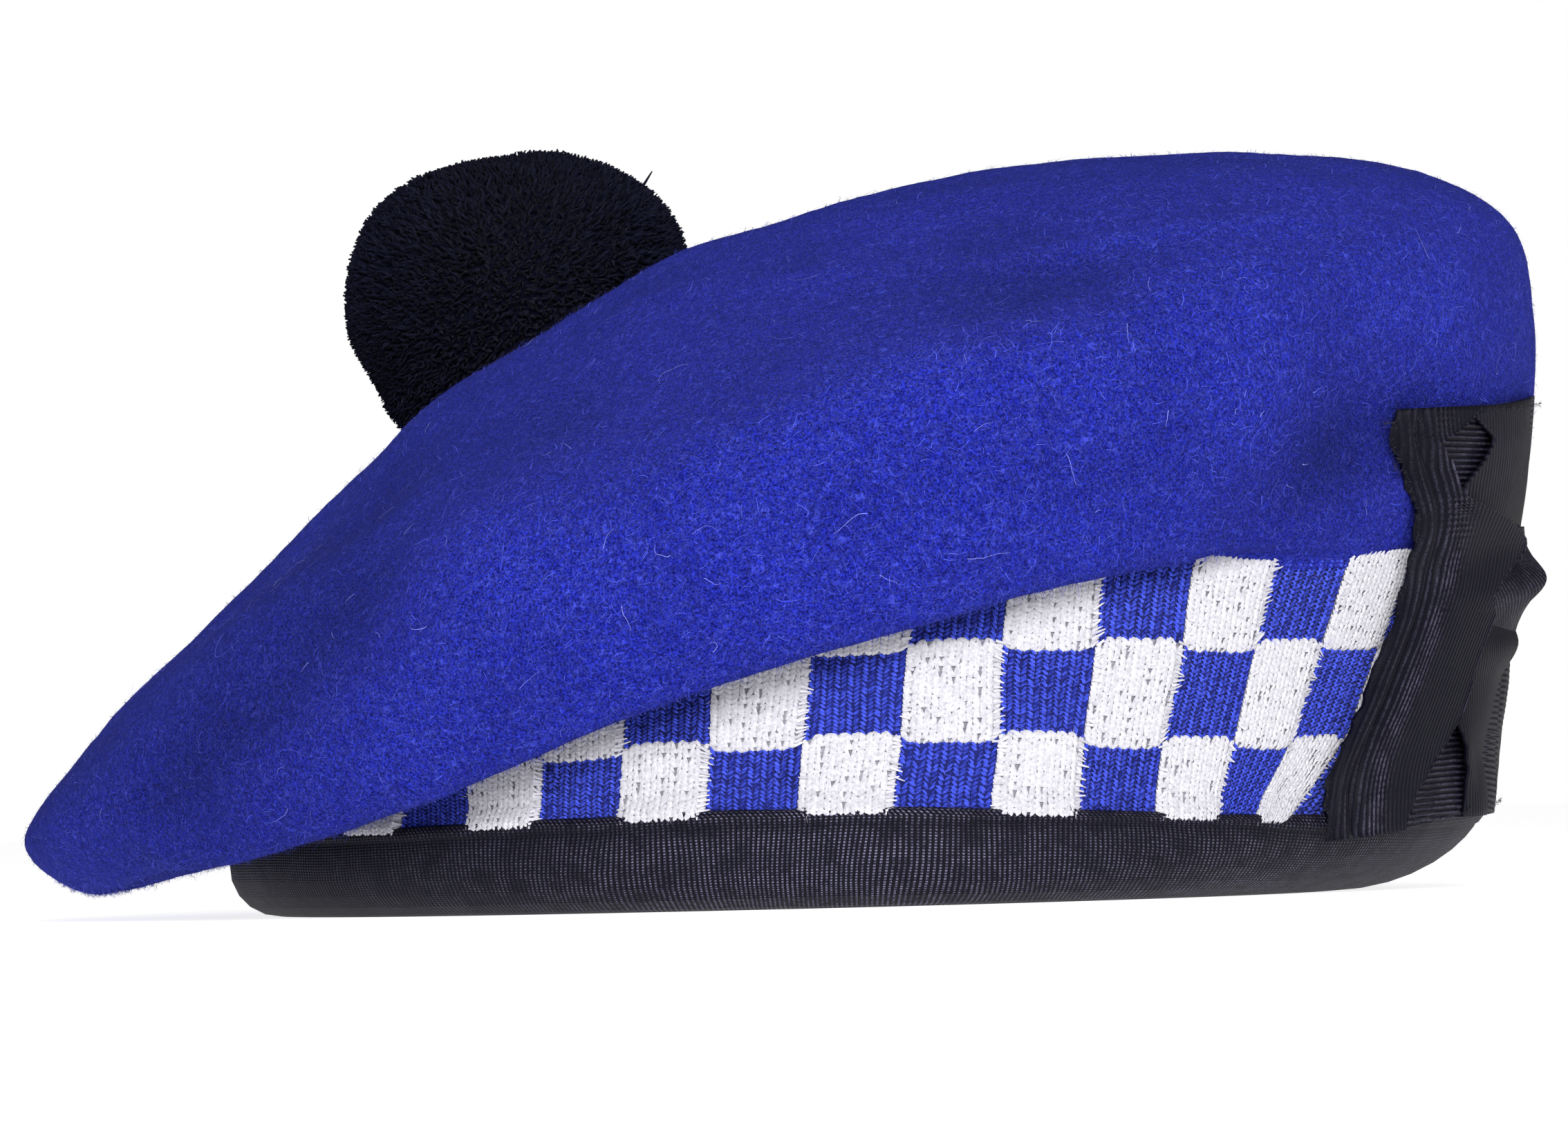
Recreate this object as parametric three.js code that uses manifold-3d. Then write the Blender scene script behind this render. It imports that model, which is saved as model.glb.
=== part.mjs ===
// A balmoral bonnet: a soft felt crown that slouches to one side over a knitted diced band, a black
// ribbon bound round the rim, a pleated ribbon cockade on the right and a pompom (toorie) on top.
// Millimetres, +Z up, the rim standing on z = 0. Seen from the front (looking along +Y), +X is the
// cockade's side and -X is the side that the crown slouches to.
import * as THREE from "three";
import { mergeVertices } from "three/addons/utils/BufferGeometryUtils.js";
import Module from "manifold-3d";

const wasm = await Module();
wasm.setup();

// Rim, ribbon and band
const RIM_WIDTH = 181; // across the outside of the ribbon, along X
const RIM_DEPTH = 196; // across the outside of the ribbon, along Y
const RIBBON_THICKNESS = 1.1;
const RIBBON_HEIGHT = 12.8; // outside face, up to its edge
const RIBBON_HEIGHT_INSIDE = 13; // inside face, up to its edge
const RIM_FLAT = 3; // width of the ring that stands on the floor
const RIM_CURL = 7; // how far the lowest edge turns in
const RIM_CURL_HEIGHT = 7; // and the height that it takes to turn
const RIM_CURL_COCKADE = 21; // the same two on the cockade's side
const RIM_CURL_HEIGHT_COCKADE = 16;
const KNIT_THICKNESS = 3;
const BAND_HEIGHT = 47.5; // from the floor to the seam between band and crown
const BAND_FLARE = 5.5; // how far the band leans out at its top on the cockade's side
const GAP = 0.35; // between pieces that touch
const LAYER_GAP = 0.5; // between the layers of the cockade

// Crown
const FELT_THICKNESS = 2.6;
const CROWN_RISE = 59.5; // from the seam to the crown's highest point
const CROWN_OVERHANG = 30; // how far the fold reaches out beyond the seam where it slouches
const SEAM_LIP = 1; // the felt stands this far up before it turns out, in a bend as wide
const BUTTON_X = -40; // the middle of the crown, where the pompom sits
const BUTTON_Y = 18;
const BUTTON_RISE = 22.5; // above the seam

// Pompom
const POMPOM_RADIUS = 26;
const POMPOM_SEAT = 20; // its centre's height over the felt
const POMPOM_FLATNESS = 0.85; // its height over its width
const LOCK_COUNT = 48;
const LOCK_RADIUS = 6.6;
const LOCK_LENGTH = 5.5;
const LOCK_SIDES = 5;

// Cockade
const COCKADE_WIDTH = 60;
const COCKADE_HEIGHT = 57.5;
const COCKADE_FLOOR = 10; // its lower edge over the floor
const COCKADE_LEAN = 2.5; // how much higher its side towards the back stands than its middle
const COCKADE_TOWARDS = 335; // the direction that its middle faces, in degrees
const COCKADE_RIBBON = 1.2; // one layer of its ribbon
const COCKADE_LOOP = 2.2; // how far a side loop stands out
const COCKADE_SPLIT = 0.012; // half the space between the two loops, as a share of half the width
const COCKADE_PEAK = 2.4; // how far the middle pleat stands out beyond the loops
const PLEAT_ROWS = [3, 10]; // the rows, out of COCKADE_STEPS, that the middle pleat spans
const PLEAT_LEFT = -0.22; // its widest reach to either side, in shares of half the width
const PLEAT_RIGHT = 0.62;
const HOLLOW_REACH = 4; // the cockade bridges hollows in the hat that are less high

// The mesh's steps
const TURN_STEPS = 44;
const COCKADE_STEPS = 12;
const PROFILE_STEPS = [1, 1, 1, 2, 2, 2, 3, 3, 3, 2, 2, 2]; // in each stretch of the crown's section

const TURN = Math.PI * 2;
const radians = (degrees) => (degrees * Math.PI) / 180;
const clamp = (x, low, high) => Math.min(high, Math.max(low, x));
const mix = (a, b, share) => a + (b - a) * share;

// The hat's section towards eight directions. seam is the band's height as a share of BAND_HEIGHT and
// ribbon the black ribbon's as a share of RIBBON_HEIGHT. The other columns are the felt's outside from
// the seam down round the fold and up to the button, each as [reach, rise]. Reach is 0 at the button
// and 1 on the seam, and what is above 1 counts shares of the overhang beyond it. A rise above 0 is a
// share of CROWN_RISE over the band, and below 0 a share of BAND_HEIGHT under its top.
const SECTIONS = [
  {
    towards: 0, seam: 1, ribbon: 0.86,
    under: [1.05, 0.05], heel: [1.07, 0.11], toe: [1.1, 0.18],
    out: [1.17, 0.55], shoulder: [1.09, 0.79], flank: [0.94, 0.91],
    ridge: [0.76, 0.98], inner: [0.45, 0.92], seat: [0.2, 0.65],
  },
  {
    towards: 45, seam: 1, ribbon: 0.95,
    under: [1.08, 0.07], heel: [1.17, 0.11], toe: [1.27, 0.18],
    out: [1.37, 0.38], shoulder: [1.23, 0.65], flank: [0.96, 0.8],
    ridge: [0.72, 0.88], inner: [0.42, 0.84], seat: [0.2, 0.65],
  },
  {
    towards: 90, seam: 0.95, ribbon: 1,
    under: [1.18, -0.18], heel: [1.3, -0.41], toe: [1.47, -0.46],
    out: [1.63, -0.24], shoulder: [1.47, 0.08], flank: [0.98, 0.31],
    ridge: [0.7, 0.5], inner: [0.42, 0.55], seat: [0.2, 0.5],
  },
  {
    towards: 135, seam: 0.83, ribbon: 1,
    under: [1.13, -0.31], heel: [1.3, -0.66], toe: [1.5, -0.75],
    out: [1.77, -0.58], shoulder: [1.6, -0.24], flank: [1, 0.08],
    ridge: [0.7, 0.26], inner: [0.4, 0.35], seat: [0.2, 0.38],
  },
  {
    towards: 180, seam: 0.68, ribbon: 0.98,
    under: [1.17, -0.49], heel: [1.35, -0.81], toe: [1.67, -0.92],
    out: [2.03, -0.77], shoulder: [1.77, -0.54], flank: [1.03, -0.08],
    ridge: [0.62, 0.22], inner: [0.36, 0.33], seat: [0.18, 0.36],
  },
  {
    towards: 225, seam: 0.85, ribbon: 0.95,
    under: [1.13, -0.28], heel: [1.3, -0.64], toe: [1.48, -0.72],
    out: [1.73, -0.47], shoulder: [1.57, -0.07], flank: [1, 0.19],
    ridge: [0.7, 0.43], inner: [0.4, 0.5], seat: [0.2, 0.46],
  },
  {
    towards: 270, seam: 0.985, ribbon: 1.04,
    under: [1.18, -0.09], heel: [1.25, -0.21], toe: [1.38, -0.22],
    out: [1.53, 0.04], shoulder: [1.37, 0.34], flank: [0.93, 0.55],
    ridge: [0.62, 0.75], inner: [0.37, 0.75], seat: [0.18, 0.56],
  },
  {
    towards: 315, seam: 1, ribbon: 0.82,
    under: [1.08, 0.06], heel: [1.13, 0.09], toe: [1.2, 0.15],
    out: [1.33, 0.38], shoulder: [1.2, 0.66], flank: [0.95, 0.83],
    ridge: [0.72, 0.93], inner: [0.42, 0.89], seat: [0.2, 0.65],
  },
];
const RINGS = ["under", "heel", "toe", "out", "shoulder", "flank", "ridge", "inner", "seat"];

// Soft dents in the felt. towards is a direction in degrees and place counts the section's stations
// from the seam (3 is "under", 11 is "seat"). wide is in degrees, long in stations, and depth is a
// share of FELT_THICKNESS.
const DENTS = [
  { towards: 290, place: 8.5, wide: 15, long: 0.5, depth: 0.8 },
  { towards: 207, place: 8, wide: 9, long: 1, depth: 0.9 },
  { towards: 318, place: 5.8, wide: 12, long: 0.8, depth: 0.9 },
  { towards: 240, place: 8.7, wide: 9, long: 0.4, depth: 0.5 },
  { towards: 278, place: 6.6, wide: 22, long: 0.3, depth: 0.35 },
];

// A cubic through four numbers, at a share of the way from the second to the third.
function cubic(a, b, c, d, share) {
  const s = share;
  return b + 0.5 * s * (c - a + s * (2 * a - 5 * b + 4 * c - d + s * (3 * (b - c) + d - a)));
}

// A column of the table towards any angle, with get to take one number from a row.
function aroundTable(angle, get) {
  const count = SECTIONS.length;
  const place = ((((angle / TURN) * count) % count) + count) % count;
  const row = Math.floor(place);
  const at = (k) => get(SECTIONS[(row + k + count) % count]);
  return cubic(at(-1), at(0), at(1), at(2), place - row);
}

const seamHeight = (angle) => BAND_HEIGHT * aroundTable(angle, (row) => row.seam);
const ribbonHeight = (angle) => RIBBON_HEIGHT * aroundTable(angle, (row) => row.ribbon);
const cockadeSide = (angle) => Math.max(0, Math.cos(angle)) ** 2;

// How far the rim's lowest edge turns in at an angle, and the height that it takes.
function curlAt(angle) {
  const side = cockadeSide(angle);
  return [mix(RIM_CURL, RIM_CURL_COCKADE, side), mix(RIM_CURL_HEIGHT, RIM_CURL_HEIGHT_COCKADE, side)];
}

// The wall of rim and band is followed by its turn: below 0 on the flat ring, 0 to 1 on the curl, and
// above 1 on the upright wall, where 1 more is 10 mm.
const TURN_LENGTH = 10;

function turnOfHeight(angle, height) {
  const curlHeight = curlAt(angle)[1];
  if (height >= curlHeight) return 1 + (height - curlHeight) / TURN_LENGTH;
  return Math.acos(1 - Math.max(height, 0) / curlHeight) / (Math.PI / 2);
}

// A point of the wall: towards an angle, at a turn, and at a depth under the ribbon's outside.
function wallPoint(angle, turn, depth) {
  const [curl, curlHeight] = curlAt(angle);
  const bend = clamp(turn, 0, 1) * (Math.PI / 2);
  const normal = new THREE.Vector2(curlHeight * Math.sin(bend), curl * Math.cos(bend)).normalize();
  const inset = curl * (1 - Math.sin(bend)) - Math.min(turn, 0) * TURN_LENGTH + depth * normal.x;
  const height = curlHeight * (1 - Math.cos(bend)) + Math.max(turn - 1, 0) * TURN_LENGTH + depth * normal.y;
  const flare = (BAND_FLARE * cockadeSide(angle) * height) / BAND_HEIGHT;
  const x = (RIM_WIDTH / 2 - inset + flare) * Math.cos(angle);
  const y = (RIM_DEPTH / 2 - inset) * Math.sin(angle);
  return new THREE.Vector3(x, y, height);
}

const BAND_INSET = RIBBON_THICKNESS + GAP;
const wallAt = (angle, height, depth) => wallPoint(angle, turnOfHeight(angle, height), depth);
const button = new THREE.Vector3(BUTTON_X, BUTTON_Y, BAND_HEIGHT + BUTTON_RISE);

// A point of the crown at a reach and rise, as the table gives them.
function crownPoint(angle, reach, rise) {
  const seam = wallAt(angle, seamHeight(angle), BAND_INSET);
  const inside = Math.min(reach, 1);
  const beyond = Math.max(reach - 1, 0) * CROWN_OVERHANG;
  const x = mix(button.x, seam.x, inside) + beyond * Math.cos(angle);
  const y = mix(button.y, seam.y, inside) + beyond * Math.sin(angle);
  const z = BAND_HEIGHT + rise * (rise < 0 ? BAND_HEIGHT : CROWN_RISE);
  return new THREE.Vector3(x, y, z);
}

// How deep the dents are at a place of the section towards an angle.
function dentDepth(angle, place) {
  return DENTS.reduce((sum, dent) => {
    const aside = angle - radians(dent.towards);
    const across = Math.atan2(Math.sin(aside), Math.cos(aside)) / radians(dent.wide);
    const along = (place - dent.place) / dent.long;
    return sum + dent.depth * FELT_THICKNESS * Math.exp(-across * across - along * along);
  }, 0);
}

// The crown's outside section towards an angle: points from the seam to the button.
function crownSection(angle) {
  const foot = wallAt(angle, seamHeight(angle) + GAP, BAND_INSET);
  const bend = new THREE.Vector3(SEAM_LIP * Math.cos(angle), SEAM_LIP * Math.sin(angle), 2 * SEAM_LIP);
  const stations = [foot, foot.clone().setZ(foot.z + SEAM_LIP), foot.clone().add(bend)];
  for (const ring of RINGS) {
    const reach = aroundTable(angle, (row) => row[ring][0]);
    const rise = aroundTable(angle, (row) => row[ring][1]);
    stations.push(crownPoint(angle, reach, rise));
  }
  stations.push(button);
  const curve = new THREE.CatmullRomCurve3(stations, false, "centripetal");
  const stretches = stations.length - 1;
  const points = [];
  for (let stretch = 0; stretch < stretches; stretch += 1) {
    for (let step = 0; step < PROFILE_STEPS[stretch]; step += 1) {
      const place = stretch + step / PROFILE_STEPS[stretch];
      const tangent = curve.getTangent(place / stretches);
      const inward = new THREE.Vector3(-Math.sin(angle), Math.cos(angle), 0).cross(tangent).normalize();
      points.push(curve.getPoint(place / stretches).addScaledVector(inward, -dentDepth(angle, place)));
    }
  }
  return points;
}

// A mesh from points and triangles.
function meshGeometry(points, faces) {
  const geometry = new THREE.BufferGeometry();
  const numbers = points.flatMap((p) => [p.x, p.y, p.z]);
  geometry.setAttribute("position", new THREE.Float32BufferAttribute(numbers, 3));
  geometry.setIndex(faces);
  return geometry;
}

// Triangles between two neighbouring closed rings of points. Each four points are split along one
// diagonal or, if flipped, along the other.
function ringFaces(first, second, count, flipped = false) {
  const faces = [];
  for (let i = 0; i < count; i += 1) {
    const next = (i + 1) % count;
    const [a, b, c, d] = [first + i, first + next, second + next, second + i];
    faces.push(...(flipped ? [a, b, d, b, c, d] : [a, b, c, a, c, d]));
  }
  return faces;
}

// The crown's outside surface as rings of points, lowest first, without the button's point.
function crownRings() {
  const sections = [];
  for (let i = 0; i < TURN_STEPS; i += 1) sections.push(crownSection((i / TURN_STEPS) * TURN));
  return sections[0].map((_, j) => sections.map((section) => section[j]));
}

// The crown's outside as rings of points and the button's point, its faces, and each point's normal,
// which stands on the lines to the points before and after it and to those beside it.
function crownSurface() {
  const rings = crownRings();
  const count = TURN_STEPS;
  const faces = rings.slice(1).flatMap((_, j) => ringFaces(j * count, (j + 1) * count, count));
  const top = (rings.length - 1) * count;
  for (let i = 0; i < count; i += 1) faces.push(top + i, top + ((i + 1) % count), rings.length * count);
  const unit = (from, to) => to.clone().sub(from).normalize();
  const normals = rings.map((ring, j) => ring.map((p, i) => {
    const before = j > 0 ? unit(rings[j - 1][i], p) : new THREE.Vector3(0, 0, 1);
    const after = unit(p, j + 1 < rings.length ? rings[j + 1][i] : button);
    const around = unit(ring[(i + count - 1) % count], ring[(i + 1) % count]);
    return around.cross(before.add(after)).normalize();
  }));
  const last = normals.at(-1).reduce((sum, n) => sum.add(n), new THREE.Vector3()).normalize();
  return { rings, faces, normals, last };
}

// The crown's surface moved out by a distance, or in by a negative one, with the button's point last.
function crownMoved(surface, distance) {
  const moved = surface.rings.map((ring, j) =>
    ring.map((p, i) => p.clone().addScaledVector(surface.normals[j][i], distance)));
  return [...moved.flat(), button.clone().addScaledVector(surface.last, distance)];
}

// The crown: its outside surface, and the same surface moved in by the felt's thickness.
function crownShell(surface) {
  const outside = crownMoved(surface, 0);
  const inside = crownMoved(surface, -FELT_THICKNESS);
  for (let i = 0; i < TURN_STEPS; i += 1) {
    const angle = (i / TURN_STEPS) * TURN;
    inside[i] = wallAt(angle, seamHeight(angle) + GAP, BAND_INSET + FELT_THICKNESS).setZ(outside[i].z);
  }
  const count = outside.length;
  const faces = [...surface.faces];
  for (let f = 0; f < surface.faces.length; f += 3) {
    const [a, b, c] = surface.faces.slice(f, f + 3);
    faces.push(count + a, count + c, count + b);
  }
  faces.push(...ringFaces(count, 0, TURN_STEPS));
  return meshGeometry([...outside, ...inside], faces);
}

// A solid that fills the crown and stands a gap proud of it, to cut what rests on the crown.
function crownCutter(surface) {
  const points = [...crownMoved(surface, GAP), new THREE.Vector3(0, 0, BAND_HEIGHT)];
  const faces = [...surface.faces];
  for (let i = 0; i < TURN_STEPS; i += 1) faces.push((i + 1) % TURN_STEPS, i, points.length - 1);
  return solid(meshGeometry(points, faces));
}

// A closed geometry as a manifold-3d solid, and back.
function solid(geometry) {
  const bare = geometry.clone();
  bare.deleteAttribute("normal");
  bare.deleteAttribute("uv");
  const merged = mergeVertices(bare, 1e-4);
  return new wasm.Manifold(new wasm.Mesh({
    numProp: 3,
    vertProperties: merged.attributes.position.array,
    triVerts: new Uint32Array(merged.index.array),
  }));
}

function geometryOf(body) {
  const mesh = body.getMesh();
  const geometry = new THREE.BufferGeometry();
  geometry.setAttribute("position", new THREE.BufferAttribute(mesh.vertProperties, 3));
  geometry.setIndex(new THREE.BufferAttribute(mesh.triVerts, 1));
  return geometry;
}

// A ring swept round the rim from a closed section of [depth, turn] pairs, where a turn may be a
// function of the angle. The section runs up the outside and down the inside, and faces that run down
// are flipped, so that the two sides of a narrow gap are split alike.
function rimSweep(section) {
  const points = [];
  for (const [depth, turn] of section) {
    for (let i = 0; i < TURN_STEPS; i += 1) {
      const angle = (i / TURN_STEPS) * TURN;
      points.push(wallPoint(angle, typeof turn === "function" ? turn(angle) : turn, depth));
    }
  }
  const faces = section.flatMap((_, j) => {
    const [from, to] = [j * TURN_STEPS, ((j + 1) % section.length) * TURN_STEPS];
    return ringFaces(from, to, TURN_STEPS, points[to].z < points[from].z);
  });
  return meshGeometry(points, faces);
}

const RIM_THICKNESS = 2 * BAND_INSET + KNIT_THICKNESS;
const RIM_CORNER = 1.2; // the rounding of the ribbon's fold
const flatTurn = -RIM_FLAT / TURN_LENGTH;
const noseTurn = flatTurn - RIM_CORNER / TURN_LENGTH;
const knitFootTurn = flatTurn + RIBBON_THICKNESS / TURN_LENGTH;

// Places up the wall that ribbon and knit share, as shares of the way up to the ribbon's edge.
const BOUND_SHARES = [0.33, 0.67, 1];
const ribbonEdge = (angle) => turnOfHeight(angle, ribbonHeight(angle));
const ribbonEdgeInside = (angle) => turnOfHeight(angle, RIBBON_HEIGHT_INSIDE);

// A path up the wall at a depth, from the flat ring to an edge that may change with the angle.
const pathUp = (depth, edge) => BOUND_SHARES.map((share) => [depth, (angle) => share * edge(angle)]);
const pathDown = (depth, edge) => pathUp(depth, edge).reverse();

// The black ribbon, folded over the band's lower edge: up the outside, and down and up the inside.
function ribbonBinding() {
  const far = RIM_THICKNESS;
  return rimSweep([
    [RIM_CORNER, noseTurn],
    [0, flatTurn],
    [0, 0],
    ...pathUp(0, ribbonEdge),
    ...pathDown(RIBBON_THICKNESS, ribbonEdge),
    [RIBBON_THICKNESS, 0],
    [RIBBON_THICKNESS, knitFootTurn],
    [far - RIBBON_THICKNESS, knitFootTurn],
    [far - RIBBON_THICKNESS, 0],
    ...pathUp(far - RIBBON_THICKNESS, ribbonEdgeInside),
    ...pathDown(far, ribbonEdgeInside),
    [far, 0],
    [far - RIM_CORNER, noseTurn],
  ]);
}

// The knitted band, from inside the folded ribbon up to the seam.
function dicedBand() {
  const foot = knitFootTurn + GAP / TURN_LENGTH;
  const far = BAND_INSET + KNIT_THICKNESS;
  const top = (angle) => turnOfHeight(angle, seamHeight(angle));
  const above = (edge, share) => (angle) => mix(edge(angle), top(angle), share);
  return rimSweep([
    [BAND_INSET, foot],
    [BAND_INSET, 0],
    ...pathUp(BAND_INSET, ribbonEdge),
    [BAND_INSET, above(ribbonEdge, 0.5)],
    [BAND_INSET, top],
    [far, top],
    [far, above(ribbonEdgeInside, 0.5)],
    ...pathDown(far, ribbonEdgeInside),
    [far, 0],
    [far, foot],
  ]);
}

// The pompom: locks fused to an oval core, cut to sit on the crown.
function pompom(cutter, up) {
  const core = solid(new THREE.IcosahedronGeometry(POMPOM_RADIUS - LOCK_LENGTH * 0.5, 2));
  const locks = [];
  const upright = new THREE.Vector3(0, 1, 0);
  for (let k = 0; k < LOCK_COUNT; k += 1) {
    const rise = 1 - (2 * (k + 0.5)) / LOCK_COUNT;
    const turn = k * Math.PI * (3 - Math.sqrt(5));
    const flat = Math.sqrt(1 - rise * rise);
    const way = new THREE.Vector3(flat * Math.cos(turn), flat * Math.sin(turn), rise);
    const lock = new THREE.CylinderGeometry(LOCK_RADIUS * 0.78, LOCK_RADIUS, LOCK_LENGTH, LOCK_SIDES);
    lock.translate(0, POMPOM_RADIUS - LOCK_LENGTH * (0.5 + 0.05 * (1 + Math.sin(k * 2.3))), 0);
    lock.applyQuaternion(new THREE.Quaternion().setFromUnitVectors(upright, way));
    locks.push(solid(lock));
  }
  const ball = geometryOf(wasm.Manifold.union([core, ...locks]));
  const centre = button.clone().addScaledVector(up, POMPOM_SEAT);
  ball.scale(1, 1, POMPOM_FLATNESS);
  ball.applyQuaternion(new THREE.Quaternion().setFromUnitVectors(new THREE.Vector3(0, 0, 1), up));
  ball.translate(centre.x, centre.y, centre.z);
  return geometryOf(solid(ball).subtract(cutter));
}

// The hat's outside at a height towards an angle: the ribbon's face, the band's or the felt's.
function hatPoint(angle, height) {
  if (height < seamHeight(angle) + GAP) return wallAt(angle, height, 0);
  const section = crownSection(angle);
  const above = Math.max(1, section.findIndex((p) => p.z >= height));
  const share = (height - section[above - 1].z) / (section[above].z - section[above - 1].z);
  return section[above - 1].clone().lerp(section[above], clamp(share, 0, 1)).setZ(height);
}

// The cockade's outline and folds at five heights. The columns after up are shares of half its width
// from its middle: its edge towards the front, its edge towards the back, and the inner edges of the
// two loops, which part above and below to leave a notch.
const COCKADE_ROWS = [
  { up: 0, left: -1.12, right: 0.5, loopLeft: -0.32, loopRight: 0.36 },
  { up: 0.25, left: -1, right: 0.7, loopLeft: -0.02, loopRight: 0.02 },
  { up: 0.5, left: -0.82, right: 0.8, loopLeft: -0.06, loopRight: -0.02 },
  { up: 0.8, left: -0.75, right: 0.66, loopLeft: -0.2, loopRight: -0.16 },
  { up: 1, left: -0.93, right: 0.54, loopLeft: -0.48, loopRight: 0.04 },
];

// A column of the cockade's table at a height, straight from row to row.
function cockadeAcross(column, up) {
  const row = clamp(COCKADE_ROWS.findIndex((r) => r.up >= up), 1, COCKADE_ROWS.length - 1);
  const [a, b] = [COCKADE_ROWS[row - 1], COCKADE_ROWS[row]];
  return mix(a[column], b[column], (up - a.up) / (b.up - a.up));
}

// The hat's reach under the cockade in one of its rows, where the ribbon bridges small hollows.
function cockadeReach(angle, row, lean) {
  const height = COCKADE_FLOOR + (row / COCKADE_STEPS) * COCKADE_HEIGHT + lean;
  const near = [-1, 0, 1].map((k) => hatPoint(angle, height + k * HOLLOW_REACH));
  return Math.max(...near.map((p) => Math.hypot(p.x, p.y)));
}

// A place on the cockade: across is a share of half its width, up of its height, and out is the
// distance from the hat. All layers bend in the same rows.
function cockadePoint(across, up, out) {
  const radius = (RIM_WIDTH + RIM_DEPTH) / 4;
  const angle = radians(COCKADE_TOWARDS) + (across * COCKADE_WIDTH) / 2 / radius;
  const lean = across * COCKADE_LEAN;
  const row = clamp(Math.floor(up * COCKADE_STEPS), 0, COCKADE_STEPS - 1);
  const [low, high] = [cockadeReach(angle, row, lean), cockadeReach(angle, row + 1, lean)];
  const middle = hatPoint(angle, COCKADE_FLOOR + up * COCKADE_HEIGHT + lean);
  const reach = mix(low, high, up * COCKADE_STEPS - row) / Math.hypot(middle.x, middle.y);
  const away = new THREE.Vector3(middle.x, middle.y, 0).normalize().multiplyScalar(out);
  return new THREE.Vector3(middle.x * reach, middle.y * reach, middle.z).add(away);
}

// A closed sheet from one row to another. across(u, up) gives the place across, and depth(u, up) the
// distances of its back and front from the hat.
function cockadeSheet(lowRow, highRow, across, depth, columns) {
  const points = [];
  const rows = highRow - lowRow;
  for (const side of [0, 1]) {
    for (let j = 0; j <= rows; j += 1) {
      for (let i = 0; i <= columns; i += 1) {
        const u = i / columns;
        const up = (lowRow + j) / COCKADE_STEPS;
        points.push(cockadePoint(across(u, up), up, depth(u, up)[side]));
      }
    }
  }
  const wide = columns + 1;
  const front = wide * (rows + 1);
  const faces = [];
  for (let j = 0; j < rows; j += 1) {
    for (let i = 0; i < columns; i += 1) {
      const a = j * wide + i;
      const b = front + a;
      faces.push(a, a + wide, a + 1, a + 1, a + wide, a + wide + 1);
      faces.push(b, b + 1, b + wide, b + 1, b + wide + 1, b + wide);
    }
  }
  const rim = [];
  for (let i = 0; i < columns; i += 1) rim.push(i);
  for (let j = 0; j < rows; j += 1) rim.push(j * wide + columns);
  for (let i = columns; i > 0; i -= 1) rim.push(rows * wide + i);
  for (let j = rows; j > 0; j -= 1) rim.push(j * wide);
  rim.forEach((a, k) => {
    const b = rim[(k + 1) % rim.length];
    faces.push(a, b, front + b, a, front + b, front + a);
  });
  return meshGeometry(points, faces);
}

// The flat layer at the back of the cockade.
const cockadeBack = () => cockadeSheet(0, COCKADE_STEPS,
  (u, up) => mix(cockadeAcross("left", up) + 0.03, cockadeAcross("right", up) - 0.03, u),
  () => [GAP, GAP + COCKADE_RIBBON],
  8);

// A side loop: ribbon folded from the outer edge in to the middle, thickest near its inner edge.
const LOOP_START = GAP + COCKADE_RIBBON + LAYER_GAP;
function cockadeLoop(side, outer, inner) {
  const inward = (u) => (side < 0 ? u : 1 - u);
  return cockadeSheet(0, COCKADE_STEPS,
    (u, up) => mix(cockadeAcross(outer, up), cockadeAcross(inner, up) + side * COCKADE_SPLIT, inward(u)),
    (u) => {
      const swell = Math.sin(Math.PI * (0.08 + 0.7 * inward(u)));
      return [LOOP_START, LOOP_START + mix(COCKADE_RIBBON, COCKADE_LOOP, swell)];
    },
    6);
}

// The raised pleat that covers the middle of the cockade, highest on its side towards the back.
function cockadePleat() {
  const start = LOOP_START + COCKADE_LOOP + LAYER_GAP;
  const [low, high] = [PLEAT_ROWS[0] / COCKADE_STEPS, PLEAT_ROWS[1] / COCKADE_STEPS];
  const round = (up) => 1 - ((2 * up - low - high) / (high - low)) ** 2;
  return cockadeSheet(PLEAT_ROWS[0], PLEAT_ROWS[1],
    (u, up) => mix(PLEAT_LEFT, PLEAT_RIGHT, 0.5 + (u - 0.5) * Math.sqrt(Math.max(0.04, round(up)))),
    (u, up) => [start, start + COCKADE_RIBBON + COCKADE_PEAK * Math.sin(Math.PI * u ** 1.4) * round(up)],
    8);
}

const felt = new THREE.MeshStandardMaterial({ color: 0x1a1fa0, roughness: 0.95, metalness: 0 });
const knit = new THREE.MeshStandardMaterial({ color: 0xe9e8ec, roughness: 0.9, metalness: 0 });
const ribbon = new THREE.MeshStandardMaterial({ color: 0x17171f, roughness: 0.7, metalness: 0 });
const yarn = new THREE.MeshStandardMaterial({ color: 0x101018, roughness: 0.98, metalness: 0 });

const hat = new THREE.Group();
function add(name, geometry, material) {
  const mesh = new THREE.Mesh(geometry, material);
  mesh.name = name;
  hat.add(mesh);
}

const surface = crownSurface();
add("rim_ribbon", ribbonBinding(), ribbon);
add("diced_band", dicedBand(), knit);
add("crown", crownShell(surface), felt);
add("toorie", pompom(crownCutter(surface), surface.last), yarn);
add("cockade_back", cockadeBack(), ribbon);
add("cockade_loop_left", cockadeLoop(-1, "left", "loopLeft"), ribbon);
add("cockade_loop_right", cockadeLoop(1, "right", "loopRight"), ribbon);
add("cockade_pleat", cockadePleat(), ribbon);

// The origin is on the floor under the middle of the whole bonnet.
const bounds = new THREE.Box3().setFromObject(hat);
const middle = bounds.getCenter(new THREE.Vector3());
hat.position.set(-middle.x, -middle.y, -bounds.min.z);
const bonnet = new THREE.Group();
bonnet.add(hat);

export default bonnet;
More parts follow.
